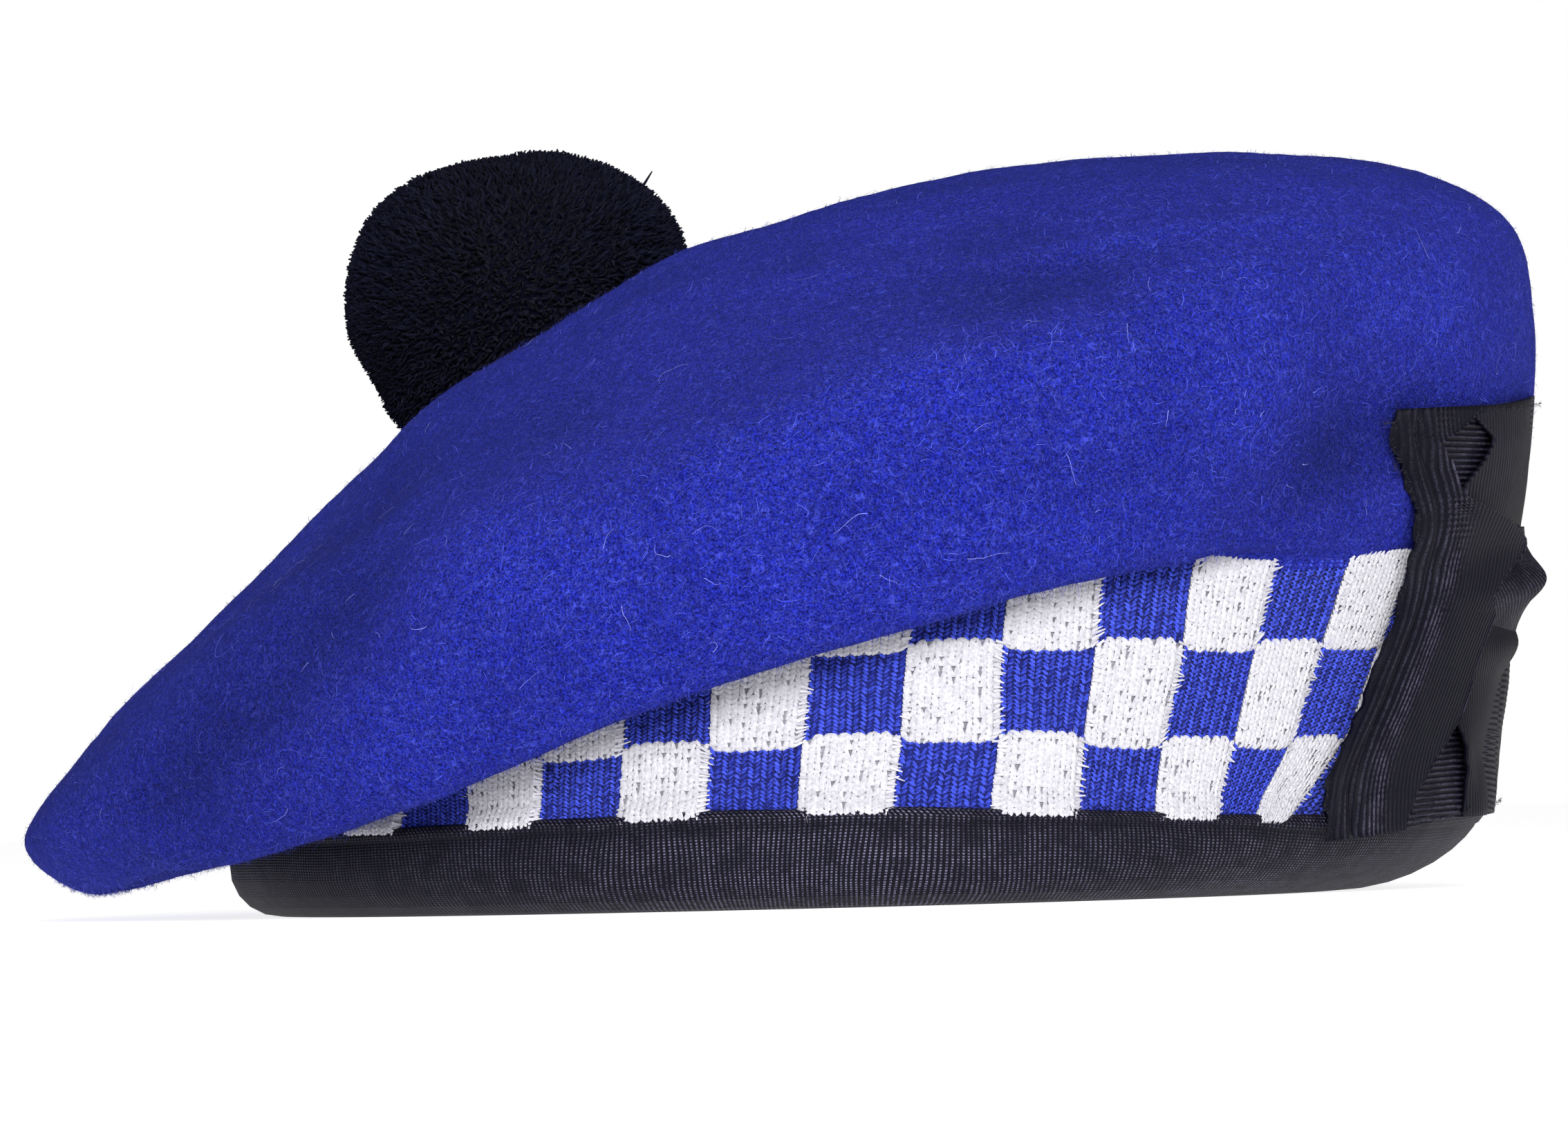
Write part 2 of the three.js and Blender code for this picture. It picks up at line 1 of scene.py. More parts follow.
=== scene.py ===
# A balmoral bonnet seen from the front: felt crown, knitted diced band, ribbon-bound rim, pleated
# ribbon cockade and pompom. Sizes in the functions below are millimetres in the hat's own frame.
import math

import bpy
import numpy as np
from mathutils import Matrix, Vector


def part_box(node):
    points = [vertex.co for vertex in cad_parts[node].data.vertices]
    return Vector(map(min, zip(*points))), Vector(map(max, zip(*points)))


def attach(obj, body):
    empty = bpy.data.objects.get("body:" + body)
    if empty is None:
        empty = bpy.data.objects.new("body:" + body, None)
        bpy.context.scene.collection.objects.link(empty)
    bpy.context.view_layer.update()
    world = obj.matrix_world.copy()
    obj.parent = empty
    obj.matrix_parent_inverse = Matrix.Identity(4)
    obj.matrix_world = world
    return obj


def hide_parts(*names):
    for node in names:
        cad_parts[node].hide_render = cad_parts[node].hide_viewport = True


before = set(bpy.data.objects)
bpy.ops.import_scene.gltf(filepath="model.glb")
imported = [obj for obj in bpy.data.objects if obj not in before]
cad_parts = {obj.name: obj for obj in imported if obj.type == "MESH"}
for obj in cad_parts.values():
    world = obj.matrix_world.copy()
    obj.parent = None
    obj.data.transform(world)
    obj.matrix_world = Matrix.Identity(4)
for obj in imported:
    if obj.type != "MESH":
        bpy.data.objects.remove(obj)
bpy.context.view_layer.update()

MM = 0.001
TURN = 2 * math.pi

# Rim, ribbon and band
RIM_WIDTH = 181
RIM_DEPTH = 196
RIBBON_THICKNESS = 1.1
RIBBON_HEIGHT = 12.8
RIM_CURL = 7
RIM_CURL_HEIGHT = 7
RIM_CURL_COCKADE = 21
RIM_CURL_HEIGHT_COCKADE = 16
KNIT_THICKNESS = 3
BAND_HEIGHT = 47.5
BAND_FLARE = 5.5
GAP = 0.35
BAND_INSET = RIBBON_THICKNESS + GAP
RIM_THICKNESS = 2 * BAND_INSET + KNIT_THICKNESS

# Crown
FELT_THICKNESS = 2.6
CROWN_RISE = 59.5
CROWN_OVERHANG = 30
SEAM_LIP = 1
BUTTON = np.array([-40, 18, BAND_HEIGHT + 22.5])

# Pompom
POMPOM_RADIUS = 26
POMPOM_SEAT = 20
POMPOM_FLATNESS = 0.85

# Cockade
COCKADE_WIDTH = 60
COCKADE_HEIGHT = 57.5
COCKADE_FLOOR = 10
COCKADE_LEAN = 2.5
COCKADE_TOWARDS = 335

# The hat's own frame moved so that the rim's box is where the model has it
rim_low, rim_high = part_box("rim_ribbon")
SHIFT = np.array([rim_low[0] / MM + RIM_WIDTH / 2, (rim_low[1] + rim_high[1]) / 2 / MM, 0])


def turns(count):
    """Even steps of one whole turn."""
    return np.linspace(0, TURN, count, endpoint=False)


def spread(*values):
    """Numbers and arrays brought to one shape."""
    return np.broadcast_arrays(*(np.asarray(v, float) for v in values))


def bump_at(v, middle, wide):
    return np.exp(-(((v - middle) / wide) ** 2))


def unit(v):
    return v / np.maximum(np.linalg.norm(v, axis=-1, keepdims=True), 1e-9)


def add_object(name, data):
    thing = bpy.data.objects.new(name, data)
    bpy.context.collection.objects.link(thing)
    return thing


# ------ camera
DISTANCE = 1500
PIXELS_PER_MM = 10
PHOTO = (2268, 1650)
AIM_PIXEL = (1241.7, 1303)
ELEVATION = math.radians(0.55)
ROLL = math.radians(1.46)


def make_camera():
    forward = Vector((0, math.cos(ELEVATION), -math.sin(ELEVATION)))
    up = Vector((0, math.sin(ELEVATION), math.cos(ELEVATION)))
    right = Vector((1, 0, 0))
    place = Vector(SHIFT) - forward * DISTANCE
    aside = PHOTO[0] / 2 - AIM_PIXEL[0]
    above = AIM_PIXEL[1] - PHOTO[1] / 2
    x = aside * math.cos(ROLL) + above * math.sin(ROLL)
    y = above * math.cos(ROLL) - aside * math.sin(ROLL)
    look = (forward * DISTANCE * PIXELS_PER_MM + right * x + up * y).normalized()
    top = (right * math.sin(ROLL) + up * math.cos(ROLL)).normalized()
    back = -look
    across = top.cross(back).normalized()
    top = back.cross(across)
    camera = add_object("camera", bpy.data.cameras.new("camera"))
    camera.matrix_world = Matrix.Translation(place * MM) @ Matrix((across, top, back)).transposed().to_4x4()
    camera.data.sensor_width = 36
    camera.data.lens = 36 * DISTANCE * PIXELS_PER_MM / PHOTO[0]
    camera.data.clip_start = 0.05
    camera.data.clip_end = 50
    bpy.context.scene.camera = camera


make_camera()

# ------ the hat's shape
# The section towards eight directions, as [reach, rise] shares from the seam round the fold to the
# button: reach 1 is on the seam, above 1 it counts shares of the overhang, and rise counts shares of
# CROWN_RISE above the band's top or of BAND_HEIGHT below it.
SEAM = [1, 1, 0.95, 0.83, 0.68, 0.85, 0.985, 1]
RIBBON = [0.86, 0.95, 1, 1, 0.98, 0.95, 1.04, 0.82]
RINGS = [
    [[1.05, 0.05], [1.08, 0.07], [1.18, -0.18], [1.13, -0.31],
     [1.17, -0.49], [1.13, -0.28], [1.18, -0.09], [1.08, 0.06]],
    [[1.07, 0.11], [1.17, 0.11], [1.3, -0.41], [1.3, -0.66],
     [1.35, -0.81], [1.3, -0.64], [1.25, -0.21], [1.13, 0.09]],
    [[1.1, 0.18], [1.27, 0.18], [1.47, -0.46], [1.5, -0.75],
     [1.67, -0.92], [1.48, -0.72], [1.38, -0.22], [1.2, 0.15]],
    [[1.17, 0.55], [1.37, 0.38], [1.63, -0.24], [1.77, -0.58],
     [2.03, -0.77], [1.73, -0.47], [1.53, 0.04], [1.33, 0.38]],
    [[1.09, 0.79], [1.23, 0.65], [1.47, 0.08], [1.6, -0.24],
     [1.77, -0.54], [1.57, -0.07], [1.37, 0.34], [1.2, 0.66]],
    [[0.94, 0.91], [0.96, 0.8], [0.98, 0.31], [1, 0.08],
     [1.03, -0.08], [1, 0.19], [0.93, 0.55], [0.95, 0.83]],
    [[0.76, 0.98], [0.72, 0.88], [0.7, 0.5], [0.7, 0.26],
     [0.62, 0.22], [0.7, 0.43], [0.62, 0.75], [0.72, 0.93]],
    [[0.45, 0.92], [0.42, 0.84], [0.42, 0.55], [0.4, 0.35],
     [0.36, 0.33], [0.4, 0.5], [0.37, 0.75], [0.42, 0.89]],
    [[0.2, 0.65], [0.2, 0.65], [0.2, 0.5], [0.2, 0.38],
     [0.18, 0.36], [0.2, 0.46], [0.18, 0.56], [0.2, 0.65]],
]

# Soft dents: direction, station along the section (3 is the first ring), width in degrees, length in
# stations and depth in shares of the felt's thickness.
DENTS = [
    (290, 8.5, 15, 0.5, 0.8),
    (207, 8, 9, 1, 0.9),
    (318, 5.8, 12, 0.8, 0.9),
    (240, 8.7, 9, 0.4, 0.5),
    (278, 6.6, 22, 0.3, 0.35),
]

# Finer folds and swells that only the cloth shows: the same columns, with the depth in millimetres.
FINE_FOLDS = [(289, 7.8, 11, 0.45, 2.2), (222, 8.0, 7, 0.6, 1.8), (229, 6.9, 6, 0.5, 2.0), (222, 6.3, 7, 0.4, 1.8),
              (212, 5.9, 8, 0.4, 1.7), (244, 8.1, 7, 0.35, 1.2), (316, 5.3, 9, 0.6, 2.5), (286, 5.9, 8, 0.3, 0.9),
              (294, 6.95, 3, 0.8, 1.0), (278, 6.9, 12, 0.5, -1.5), (254, 6.6, 9, 0.5, -1.4), (278, 5.6, 10, 0.3, -0.8),
              (240, 6.85, 5, 0.5, -1.0), (300, 6.9, 7, 0.6, -0.9)]
# Painted shade on the felt away from the folds, or painted light below 0: the same columns, with the amount last
PAINTED_LIGHT_AND_SHADE = [(212, 6.4, 17, 2.2, 0.17), (313, 5.2, 13, 1.3, 0.15), (255, 4.3, 60, 1.0, 0.16),
          (200, 8.4, 16, 1.2, -0.25), (280, 10.3, 80, 1.6, -0.28), (330, 7.5, 16, 2.0, -0.12),
          (188, 5.0, 10, 1.0, -0.2)]
# How far the front's lower edge hangs below the plain form, as direction and millimetres
EDGE_DROP = [(205, 0), (212, 1.2), (219, 2.1), (227, 2.1), (235, 2.0), (243, 1.8), (251, 1.1), (263, 1.0),
             (284, 1.3), (300, 2.1), (306, 2.9), (313, 3.2), (320, 2.7), (327, 1.7), (333, 0.9), (339, 0)]
# The low crease that follows the crown's top edge, as direction and station
CREASE = [(245, 8.95), (259, 8.75), (284, 8.3), (314, 7.6), (326, 7.4)]


def around_table(values, angle):
    """A smooth closed curve through values that stand at even steps of the turn."""
    values = np.asarray(values, float)
    count = len(values)
    place = (angle / TURN * count) % count
    row = np.floor(place).astype(int)
    s = place - row
    a, b, c, d = (values[(row + k) % count] for k in (-1, 0, 1, 2))
    return b + 0.5 * s * (c - a + s * (2 * a - 5 * b + 4 * c - d + s * (3 * (b - c) + d - a)))


def seam_height(angle):
    return BAND_HEIGHT * around_table(SEAM, angle)


def ribbon_height(angle):
    return RIBBON_HEIGHT * around_table(RIBBON, angle)


def cockade_side(angle):
    return np.maximum(0, np.cos(angle)) ** 2


def curl_at(angle):
    side = cockade_side(angle)
    curl = RIM_CURL + (RIM_CURL_COCKADE - RIM_CURL) * side
    return curl, RIM_CURL_HEIGHT + (RIM_CURL_HEIGHT_COCKADE - RIM_CURL_HEIGHT) * side


def turn_of_height(angle, height):
    curl_height = curl_at(angle)[1]
    bend = np.arccos(np.clip(1 - np.maximum(height, 0) / curl_height, -1, 1)) / (math.pi / 2)
    return np.where(height >= curl_height, 1 + (height - curl_height) / 10, bend)


def wall_point(angle, turn, depth):
    angle, turn, depth = spread(angle, turn, depth)
    curl, curl_height = curl_at(angle)
    bend = np.clip(turn, 0, 1) * (math.pi / 2)
    normal = np.stack([curl_height * np.sin(bend), curl * np.cos(bend)])
    normal /= np.linalg.norm(normal, axis=0)
    inset = curl * (1 - np.sin(bend)) - np.minimum(turn, 0) * 10 + depth * normal[0]
    height = curl_height * (1 - np.cos(bend)) + np.maximum(turn - 1, 0) * 10 + depth * normal[1]
    flare = BAND_FLARE * cockade_side(angle) * height / BAND_HEIGHT
    x = (RIM_WIDTH / 2 - inset + flare) * np.cos(angle)
    y = (RIM_DEPTH / 2 - inset) * np.sin(angle)
    return np.stack([x, y, height], -1)


def wall_at(angle, height, depth):
    return wall_point(angle, turn_of_height(angle, height), depth)


def crown_stations(angle):
    seam = wall_at(angle, seam_height(angle), BAND_INSET)
    foot = wall_at(angle, seam_height(angle) + GAP, BAND_INSET)
    way = np.stack([np.cos(angle), np.sin(angle)], -1)
    lip = foot + [0, 0, SEAM_LIP]
    bend = foot + np.concatenate([SEAM_LIP * way, np.full(angle.shape + (1,), 2.0 * SEAM_LIP)], -1)
    stations = [foot, lip, bend]
    for ring in RINGS:
        reach = around_table([r[0] for r in ring], angle)[..., None]
        rise = around_table([r[1] for r in ring], angle)
        inside = np.minimum(reach, 1)
        flat = BUTTON[:2] + (seam[..., :2] - BUTTON[:2]) * inside + np.maximum(reach - 1, 0) * CROWN_OVERHANG * way
        z = BAND_HEIGHT + rise * np.where(rise < 0, BAND_HEIGHT, CROWN_RISE)
        stations.append(np.concatenate([flat, z[..., None]], -1))
    stations.append(np.broadcast_to(BUTTON, foot.shape))
    return np.stack(stations, 0)


def fold_sum(table, angle, place):
    total = np.zeros(np.broadcast(angle, place).shape)
    for towards, at, wide, long, depth in table:
        aside = angle - math.radians(towards)
        across = np.arctan2(np.sin(aside), np.cos(aside)) / math.radians(wide)
        total += depth * np.exp(-across**2 - ((place - at) / long) ** 2)
    return total


def crease(angle, place):
    towards, at = np.array(CREASE).T
    degrees = np.degrees(angle) % 360
    ends = np.clip((degrees - towards[0]) / 12, 0, 1) * np.clip((towards[-1] - degrees) / 12, 0, 1)
    return ends * bump_at(place, np.interp(degrees, towards, at), 0.13)


def dent_depth(angle, place):
    return (fold_sum(DENTS, angle, place) * FELT_THICKNESS + fold_sum(FINE_FOLDS, angle, place)
            - 0.6 * crease(angle, place))


def painted_felt_shade(angle, place):
    """Painted light and shade on the felt: about 0.5, darker in the folds, lighter on the swells and along the crease.
    """
    painted_shade = 0.5 + 0.15 * fold_sum(FINE_FOLDS, angle, place) + fold_sum(PAINTED_LIGHT_AND_SHADE, angle, place)
    return np.clip(painted_shade - 0.15 * crease(angle, place), 0, 1)


def crown_surface(angles, places, depth=0.0):
    """Points (places, angles, 3) of the felt's outside and its normals, moved in by a depth."""
    stations = crown_stations(angles)
    before = np.concatenate([[2 * stations[0] - stations[1]], stations, [2 * stations[-1] - stations[-2]]])
    points, tangents = [], []
    for place in places:
        row = min(int(place), len(stations) - 2)
        s = place - row
        p0, p1, p2, p3 = before[row : row + 4]
        d0, d1, d2 = (np.maximum(np.linalg.norm(q - p, axis=-1, keepdims=True) ** 0.5, 1e-4)
                      for p, q in ((p0, p1), (p1, p2), (p2, p3)))
        t1 = ((p1 - p0) / d0 - (p2 - p0) / (d0 + d1) + (p2 - p1) / d1) * d1
        t2 = ((p2 - p1) / d1 - (p3 - p1) / (d1 + d2) + (p3 - p2) / d2) * d1
        c2 = -3 * p1 + 3 * p2 - 2 * t1 - t2
        c3 = 2 * p1 - 2 * p2 + t1 + t2
        points.append(p1 + s * (t1 + s * (c2 + s * c3)))
        tangents.append(t1 + s * (2 * c2 + 3 * s * c3))
    points, tangents = np.array(points), np.array(tangents)
    side = np.stack([-np.sin(angles), np.cos(angles), np.zeros_like(angles)], -1)
    out = unit(np.cross(np.broadcast_to(side, tangents.shape), tangents))
    sunk = dent_depth(angles[None, :], np.asarray(places)[:, None]) + depth
    return points - out * sunk[..., None], out


# ------ mesh helpers
def lattice(cells, seed):
    """Hashed numbers from 0 to 1 for whole-number cells."""
    n = (cells[..., 0] * 374761393 + cells[..., 1] * 668265263 + cells[..., 2] * 2147483647 + seed * 974711)
    n = (n ^ (n >> 13)) * 1274126177
    return ((n ^ (n >> 16)) & 0xFFFF) / 65535.0


def noise(points, size, seed=0):
    """Smooth noise from -1 to 1 with features of a size in millimetres."""
    p = np.asarray(points) / size
    cell = np.floor(p).astype(np.int64)
    s = p - cell
    s = s * s * (3 - 2 * s)
    total = 0
    for k in range(8):
        corner = np.array([k & 1, (k >> 1) & 1, (k >> 2) & 1])
        weight = np.prod(np.where(corner == 1, s, 1 - s), axis=-1)
        total = total + weight * lattice(cell + corner, seed)
    return total * 2 - 1


def patch_faces(count, rows, columns, closed=False):
    """Four-sided faces for count patches of rows by columns points, closed along the columns or not."""
    i = np.arange(rows - 1)[:, None]
    j = np.arange(columns if closed else columns - 1)[None, :]
    k = (j + 1) % columns
    one = np.stack([i * columns + j, i * columns + k, (i + 1) * columns + k, (i + 1) * columns + j], -1)
    return (one.reshape(1, -1, 4) + (np.arange(count) * rows * columns)[:, None, None]).reshape(-1, 4)


def make_piece(name, points, faces, material, node, uv=None, tone=None, flip=False):
    """A piece from points in millimetres of the hat's own frame and faces with one number of sides."""
    points = (np.asarray(points, float).reshape(-1, 3) + SHIFT) * MM
    faces = np.asarray(faces)
    if flip:
        faces = faces[:, ::-1]
    mesh = bpy.data.meshes.new(name)
    mesh.vertices.add(len(points))
    mesh.vertices.foreach_set("co", points.ravel())
    mesh.loops.add(faces.size)
    mesh.loops.foreach_set("vertex_index", faces.ravel().astype(np.int32))
    mesh.polygons.add(len(faces))
    mesh.polygons.foreach_set("loop_start", (np.arange(len(faces)) * faces.shape[1]).astype(np.int32))
    mesh.polygons.foreach_set("use_smooth", np.ones(len(faces), bool))
    if uv is not None:
        layer = mesh.uv_layers.new(name="UVMap")
        layer.data.foreach_set("uv", np.asarray(uv, float).reshape(-1, 2)[faces.ravel()].ravel())
    if tone is not None:
        layer = mesh.attributes.new("tone", "FLOAT", "POINT")
        layer.data.foreach_set("value", np.asarray(tone, float).ravel())
    mesh.update(calc_edges=True)
    mesh.materials.append(material)
    piece = add_object(name, mesh)
    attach(piece, "root")
    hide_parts(node)


def outward(points):
    """Level directions away from the hat's middle."""
    return unit(points * [1, 1, 0])


def direction(points):
    """Where points lie round the hat, in degrees."""
    return np.degrees(np.arctan2(points[:, 1], points[:, 0])) % 360


def fibre_piece(name, paths, width, facing, material, node, tone):
    """Thin flat strips along paths (count, steps, 3), with a width, a facing and a tone for each."""
    count, steps = paths.shape[:2]
    along = np.gradient(paths, axis=1)
    across = unit(np.cross(along, facing[:, None])) * (width[:, None, None] / 2)
    taper = np.linspace(1, 0.35, steps)[None, :, None]
    points = np.stack([paths - across * taper, paths + across * taper], 2)
    make_piece(name, points, patch_faces(count, steps, 2), material, node, tone=np.repeat(tone, 2 * steps))


# ------ materials
class Shader:
    """A small helper that adds nodes to a new material and links them by socket name."""

    def __init__(self, name):
        self.material = bpy.data.materials.new(name)
        self.material.use_nodes = True
        self.tree = self.material.node_tree
        self.tree.nodes.clear()
        self.surface = self.node("ShaderNodeBsdfPrincipled")
        self.node("ShaderNodeOutputMaterial", Surface=self.surface.outputs[0])
        self.place = self.node("ShaderNodeTexCoord").outputs["Object"]

    def node(self, kind, settings=None, **inputs):
        node = self.tree.nodes.new(kind)
        for key, value in (settings or {}).items():
            setattr(node, key, value)
        for key, value in inputs.items():
            self.put(node.inputs[key.replace("_", " ")], value)
        return node

    def put(self, socket, value):
        if isinstance(value, bpy.types.NodeSocket):
            self.tree.links.new(value, socket)
        else:
            socket.default_value = value

    def set(self, **inputs):
        for key, value in inputs.items():
            self.put(self.surface.inputs[key.replace("_", " ")], value)

    def noise(self, scale, detail=2.0, roughness=0.5, distortion=0.0):
        return self.node("ShaderNodeTexNoise", Vector=self.place, Scale=scale, Detail=detail,
                         Roughness=roughness, Distortion=distortion).outputs["Fac"]

    def math(self, operation, a, b=0.0):
        node = self.node("ShaderNodeMath", {"operation": operation})
        for socket, value in zip(node.inputs, (a, b)):
            self.put(socket, value)
        return node.outputs[0]

    def times(self, a, b):
        return self.math("MULTIPLY", a, b)

    def ramp(self, value, stops):
        """A colour ramp: stops are (place, colour) with a colour of one or three numbers."""
        node = self.node("ShaderNodeValToRGB", Fac=value)
        ramp = node.color_ramp
        while len(ramp.elements) < len(stops):
            ramp.elements.new(0.5)
        for element, (place, colour) in zip(ramp.elements, stops):
            element.position = place
            element.color = (*((colour,) * 3 if isinstance(colour, (int, float)) else colour), 1)
        return node.outputs["Color"]

    def mix(self, share, a, b, blend="MIX"):
        node = self.node("ShaderNodeMix", {"data_type": "RGBA", "blend_type": blend})
        for socket, value in zip((node.inputs[0], node.inputs[6], node.inputs[7]), (share, a, b)):
            if isinstance(value, tuple):
                value = (*value, 1)
            self.put(socket, value)
        return node.outputs[2]

    def bump(self, height, distance, strength):
        return self.node("ShaderNodeBump", Height=height, Distance=distance, Strength=strength).outputs[0]

    def attribute(self, name):
        return self.node("ShaderNodeAttribute", {"attribute_name": name}).outputs["Fac"]


def felt_material():
    s = Shader("felt")
    speck = s.noise(3100, 1.5, roughness=0.6)
    mottle = s.noise(700, 2.0, roughness=0.6)
    cloud = s.noise(60, 2.0)
    hairs = 0.0
    for scale, where in ((800, 640), (1150, 900), (1600, 1100)):
        line = s.math("ABSOLUTE", s.math("SUBTRACT", s.noise(scale, 1.0, distortion=0.8), 0.5))
        line = s.ramp(line, [(0.0, 1.0), (0.045, 0.0)])
        line = s.times(line, s.ramp(s.noise(where, 1.0, distortion=0.3), [(0.44, 0.0), (0.56, 1.0)]))
        hairs = s.math("MAXIMUM", line, hairs)
    value = s.math("ADD", s.times(speck, 0.84), s.times(mottle, 0.16))
    colour = s.ramp(value, [(0.36, (0.004, 0.006, 0.13)), (0.5, (0.0135, 0.0205, 0.345)),
                            (0.63, (0.032, 0.049, 0.7))])
    colour = s.mix(s.times(hairs, 0.8), colour, (0.085, 0.115, 0.9))
    colour = s.mix(s.ramp(cloud, [(0.35, 0.0), (0.7, 0.3)]), colour, (0.01, 0.012, 0.17))
    # painted shade: the tone attribute darkens the felt's colour in its folds and leaves it lighter on its swells
    painted_shade = s.ramp(s.attribute("tone"), [(0.0, 1.0), (0.5, 0.8), (1.0, 0.4)])
    colour = s.mix(1.0, colour, painted_shade, "MULTIPLY")
    relief = s.math("ADD", value, s.times(hairs, 0.25))
    s.set(Base_Color=colour, Roughness=0.95, Normal=s.bump(relief, 0.0009, 1.0), Sheen_Weight=0.1,
          Sheen_Roughness=0.28, Sheen_Tint=(0.25, 0.3, 1.0, 1), Specular_IOR_Level=0.06)
    return s.material


def fibre_material(name, low, high):
    s = Shader(name)
    colour = s.ramp(s.attribute("tone"), [(0.0, low), (1.0, high)])
    s.set(Base_Color=colour, Roughness=0.8, Specular_IOR_Level=0.15, Sheen_Weight=0.05, Sheen_Roughness=0.5)
    return s.material


def yarn_material(name, dark, light, sheen=0.15, specular=0.15):
    s = Shader(name)
    grain = s.noise(2100, 2.0, roughness=0.65)
    tone = s.math("ADD", s.times(grain, 0.66), s.times(s.attribute("tone"), 0.34))
    colour = s.ramp(tone, [(0.3, dark), (0.72, light)])
    s.set(Base_Color=colour, Roughness=0.9, Normal=s.bump(tone, 0.0004, 0.7), Sheen_Weight=sheen,
          Sheen_Roughness=0.5, Specular_IOR_Level=specular)
    return s.material


def grosgrain_material(name, share, picks):
    """Ribbed ribbon. UV counts ribs across and picks along; tone says how clearly the ribs show, which also
    holds painted highlights and painted shade, and picks from 0 to 1 how far the light threads break into dots."""
    s = Shader(name)
    split = s.node("ShaderNodeSeparateXYZ", Vector=s.node("ShaderNodeUVMap", {"uv_map": "UVMap"}).outputs[0])
    rib = s.math("COSINE", s.times(split.outputs[0], TURN))
    pick = s.math("COSINE", s.times(split.outputs[1], TURN))
    patchy = s.noise(330, 2.0)
    fleck = s.noise(2600, 1.0)
    dots = s.ramp(rib, [(0.0, 0.0), (0.5, 1.0)])
    for layer in (s.ramp(pick, [(0.05, 1.0 - picks), (0.6, 1.0)]), s.ramp(patchy, [(0.34, 0.3), (0.6, 1.0)]),
                  s.ramp(fleck, [(0.35, 0.25), (0.58, 1.0)]), s.attribute("tone")):
        dots = s.times(dots, layer)
    colour = s.mix(s.times(dots, share), (0.0014, 0.0013, 0.006), (0.2, 0.186, 0.29))
    relief = s.math("ADD", s.times(rib, 0.5), s.times(pick, 0.25 * picks))
    s.set(Base_Color=colour, Roughness=0.6, Normal=s.bump(relief, 0.00015, 0.8), Specular_IOR_Level=0.12)
    return s.material


FELT = felt_material()
FELT_FIBRE = fibre_material("felt_fibre", (0.006, 0.009, 0.17), (0.11, 0.15, 0.9))
STRAY_FIBRE = fibre_material("stray_fibre", (0.06, 0.08, 0.7), (0.34, 0.38, 0.85))
KNIT_WHITE = yarn_material("knit_white", (0.34, 0.335, 0.365), (0.65, 0.64, 0.68), sheen=0.03)
KNIT_BLUE = yarn_material("knit_blue", (0.004, 0.008, 0.16), (0.06, 0.1, 0.74))
KNIT_WHITE_FIBRE = fibre_material("knit_white_fibre", (0.4, 0.39, 0.43), (0.62, 0.61, 0.66))
KNIT_INSIDE = yarn_material("knit_inside", (0.5, 0.5, 0.56), (0.8, 0.79, 0.83))
KNIT_SHADE = yarn_material("knit_shade", (0.004, 0.006, 0.06), (0.012, 0.018, 0.16))
KNIT_SHADE_WHITE = yarn_material("knit_shade_white", (0.16, 0.16, 0.19), (0.36, 0.36, 0.41))
GROSGRAIN = grosgrain_material("grosgrain", 0.75, 0.9)
GROSGRAIN_FINE = grosgrain_material("grosgrain_fine", 0.36, 0.12)
RIBBON_FIBRE = fibre_material("ribbon_fibre", (0.004, 0.004, 0.008), (0.03, 0.03, 0.045))
YARN = yarn_material("pompom_yarn", (0.0022, 0.0026, 0.0085), (0.0105, 0.0112, 0.028), sheen=0.02, specular=0.03)

# ------ crown
CROWN_TURNS = 400
NAP_FIBRES = 33000
EDGE_FIBRES = 7000
STRAY_FIBRES = 800


def crown_places():
    """Places along the section, about 1.2 mm apart."""
    stations = crown_stations(turns(24))
    longest = np.linalg.norm(np.diff(stations, axis=0), axis=-1).mean(axis=1)
    places = [0.0]
    for k, length in enumerate(longest):
        steps = max(1, int(round(length / 1.25)))
        places += [k + (i + 1) / steps for i in range(steps)]
    return np.array(places[:-1])


def crown_piece():
    """The felt. Returns its points, normals, nearness to the lower edge and painted shade."""
    angles = turns(CROWN_TURNS)
    places = crown_places()
    points, out = crown_surface(angles, places)
    fade = np.clip(places - 0.5, 0, 1)[:, None]
    nap = 0.08 * noise(points, 2.6, 1) + 0.07 * noise(points, 1.4, 2) + 0.35 * noise(points, 11, 3)
    points = points + out * (nap * fade)[..., None]
    low = points[..., 2].min(axis=0)
    near = np.clip(1 - (points[..., 2] - low) / 12, 0, 1)
    near = near * near * (3 - 2 * near)
    points[..., 2] -= np.interp(np.degrees(angles), *np.array(EDGE_DROP).T) * near
    # a shallow dip in the top, right of the pompom, and a slouch tip that reaches a little further
    points[..., 2] -= 1.1 * bump_at(points[..., 0], -8, 17) * np.clip((points[..., 2] - 74) / 10, 0, 1)
    points[..., 0] -= bump_at(np.degrees(angles), 188, 15) * near
    # the inside of the felt, from the seam up like the outside
    inner_angles = angles[::4]
    inner = crown_surface(inner_angles, np.arange(3, 12, 0.5), depth=FELT_THICKNESS)[0]
    foot = wall_at(inner_angles, seam_height(inner_angles) + GAP, BAND_INSET + FELT_THICKNESS)
    inner = np.concatenate([[foot], inner])
    painted_shade = painted_felt_shade(angles[None, :], places[:, None])
    make_piece("crown_felt", points, patch_faces(1, len(places), CROWN_TURNS, closed=True), FELT, "crown",
               tone=painted_shade)
    make_piece("crown_inside", inner, patch_faces(1, len(inner), len(inner_angles), closed=True), FELT, "crown",
               tone=np.full(inner.shape[:2], 0.5), flip=True)
    return points, out, near, painted_shade


crown_points, crown_out, crown_near, crown_painted_shade = crown_piece()


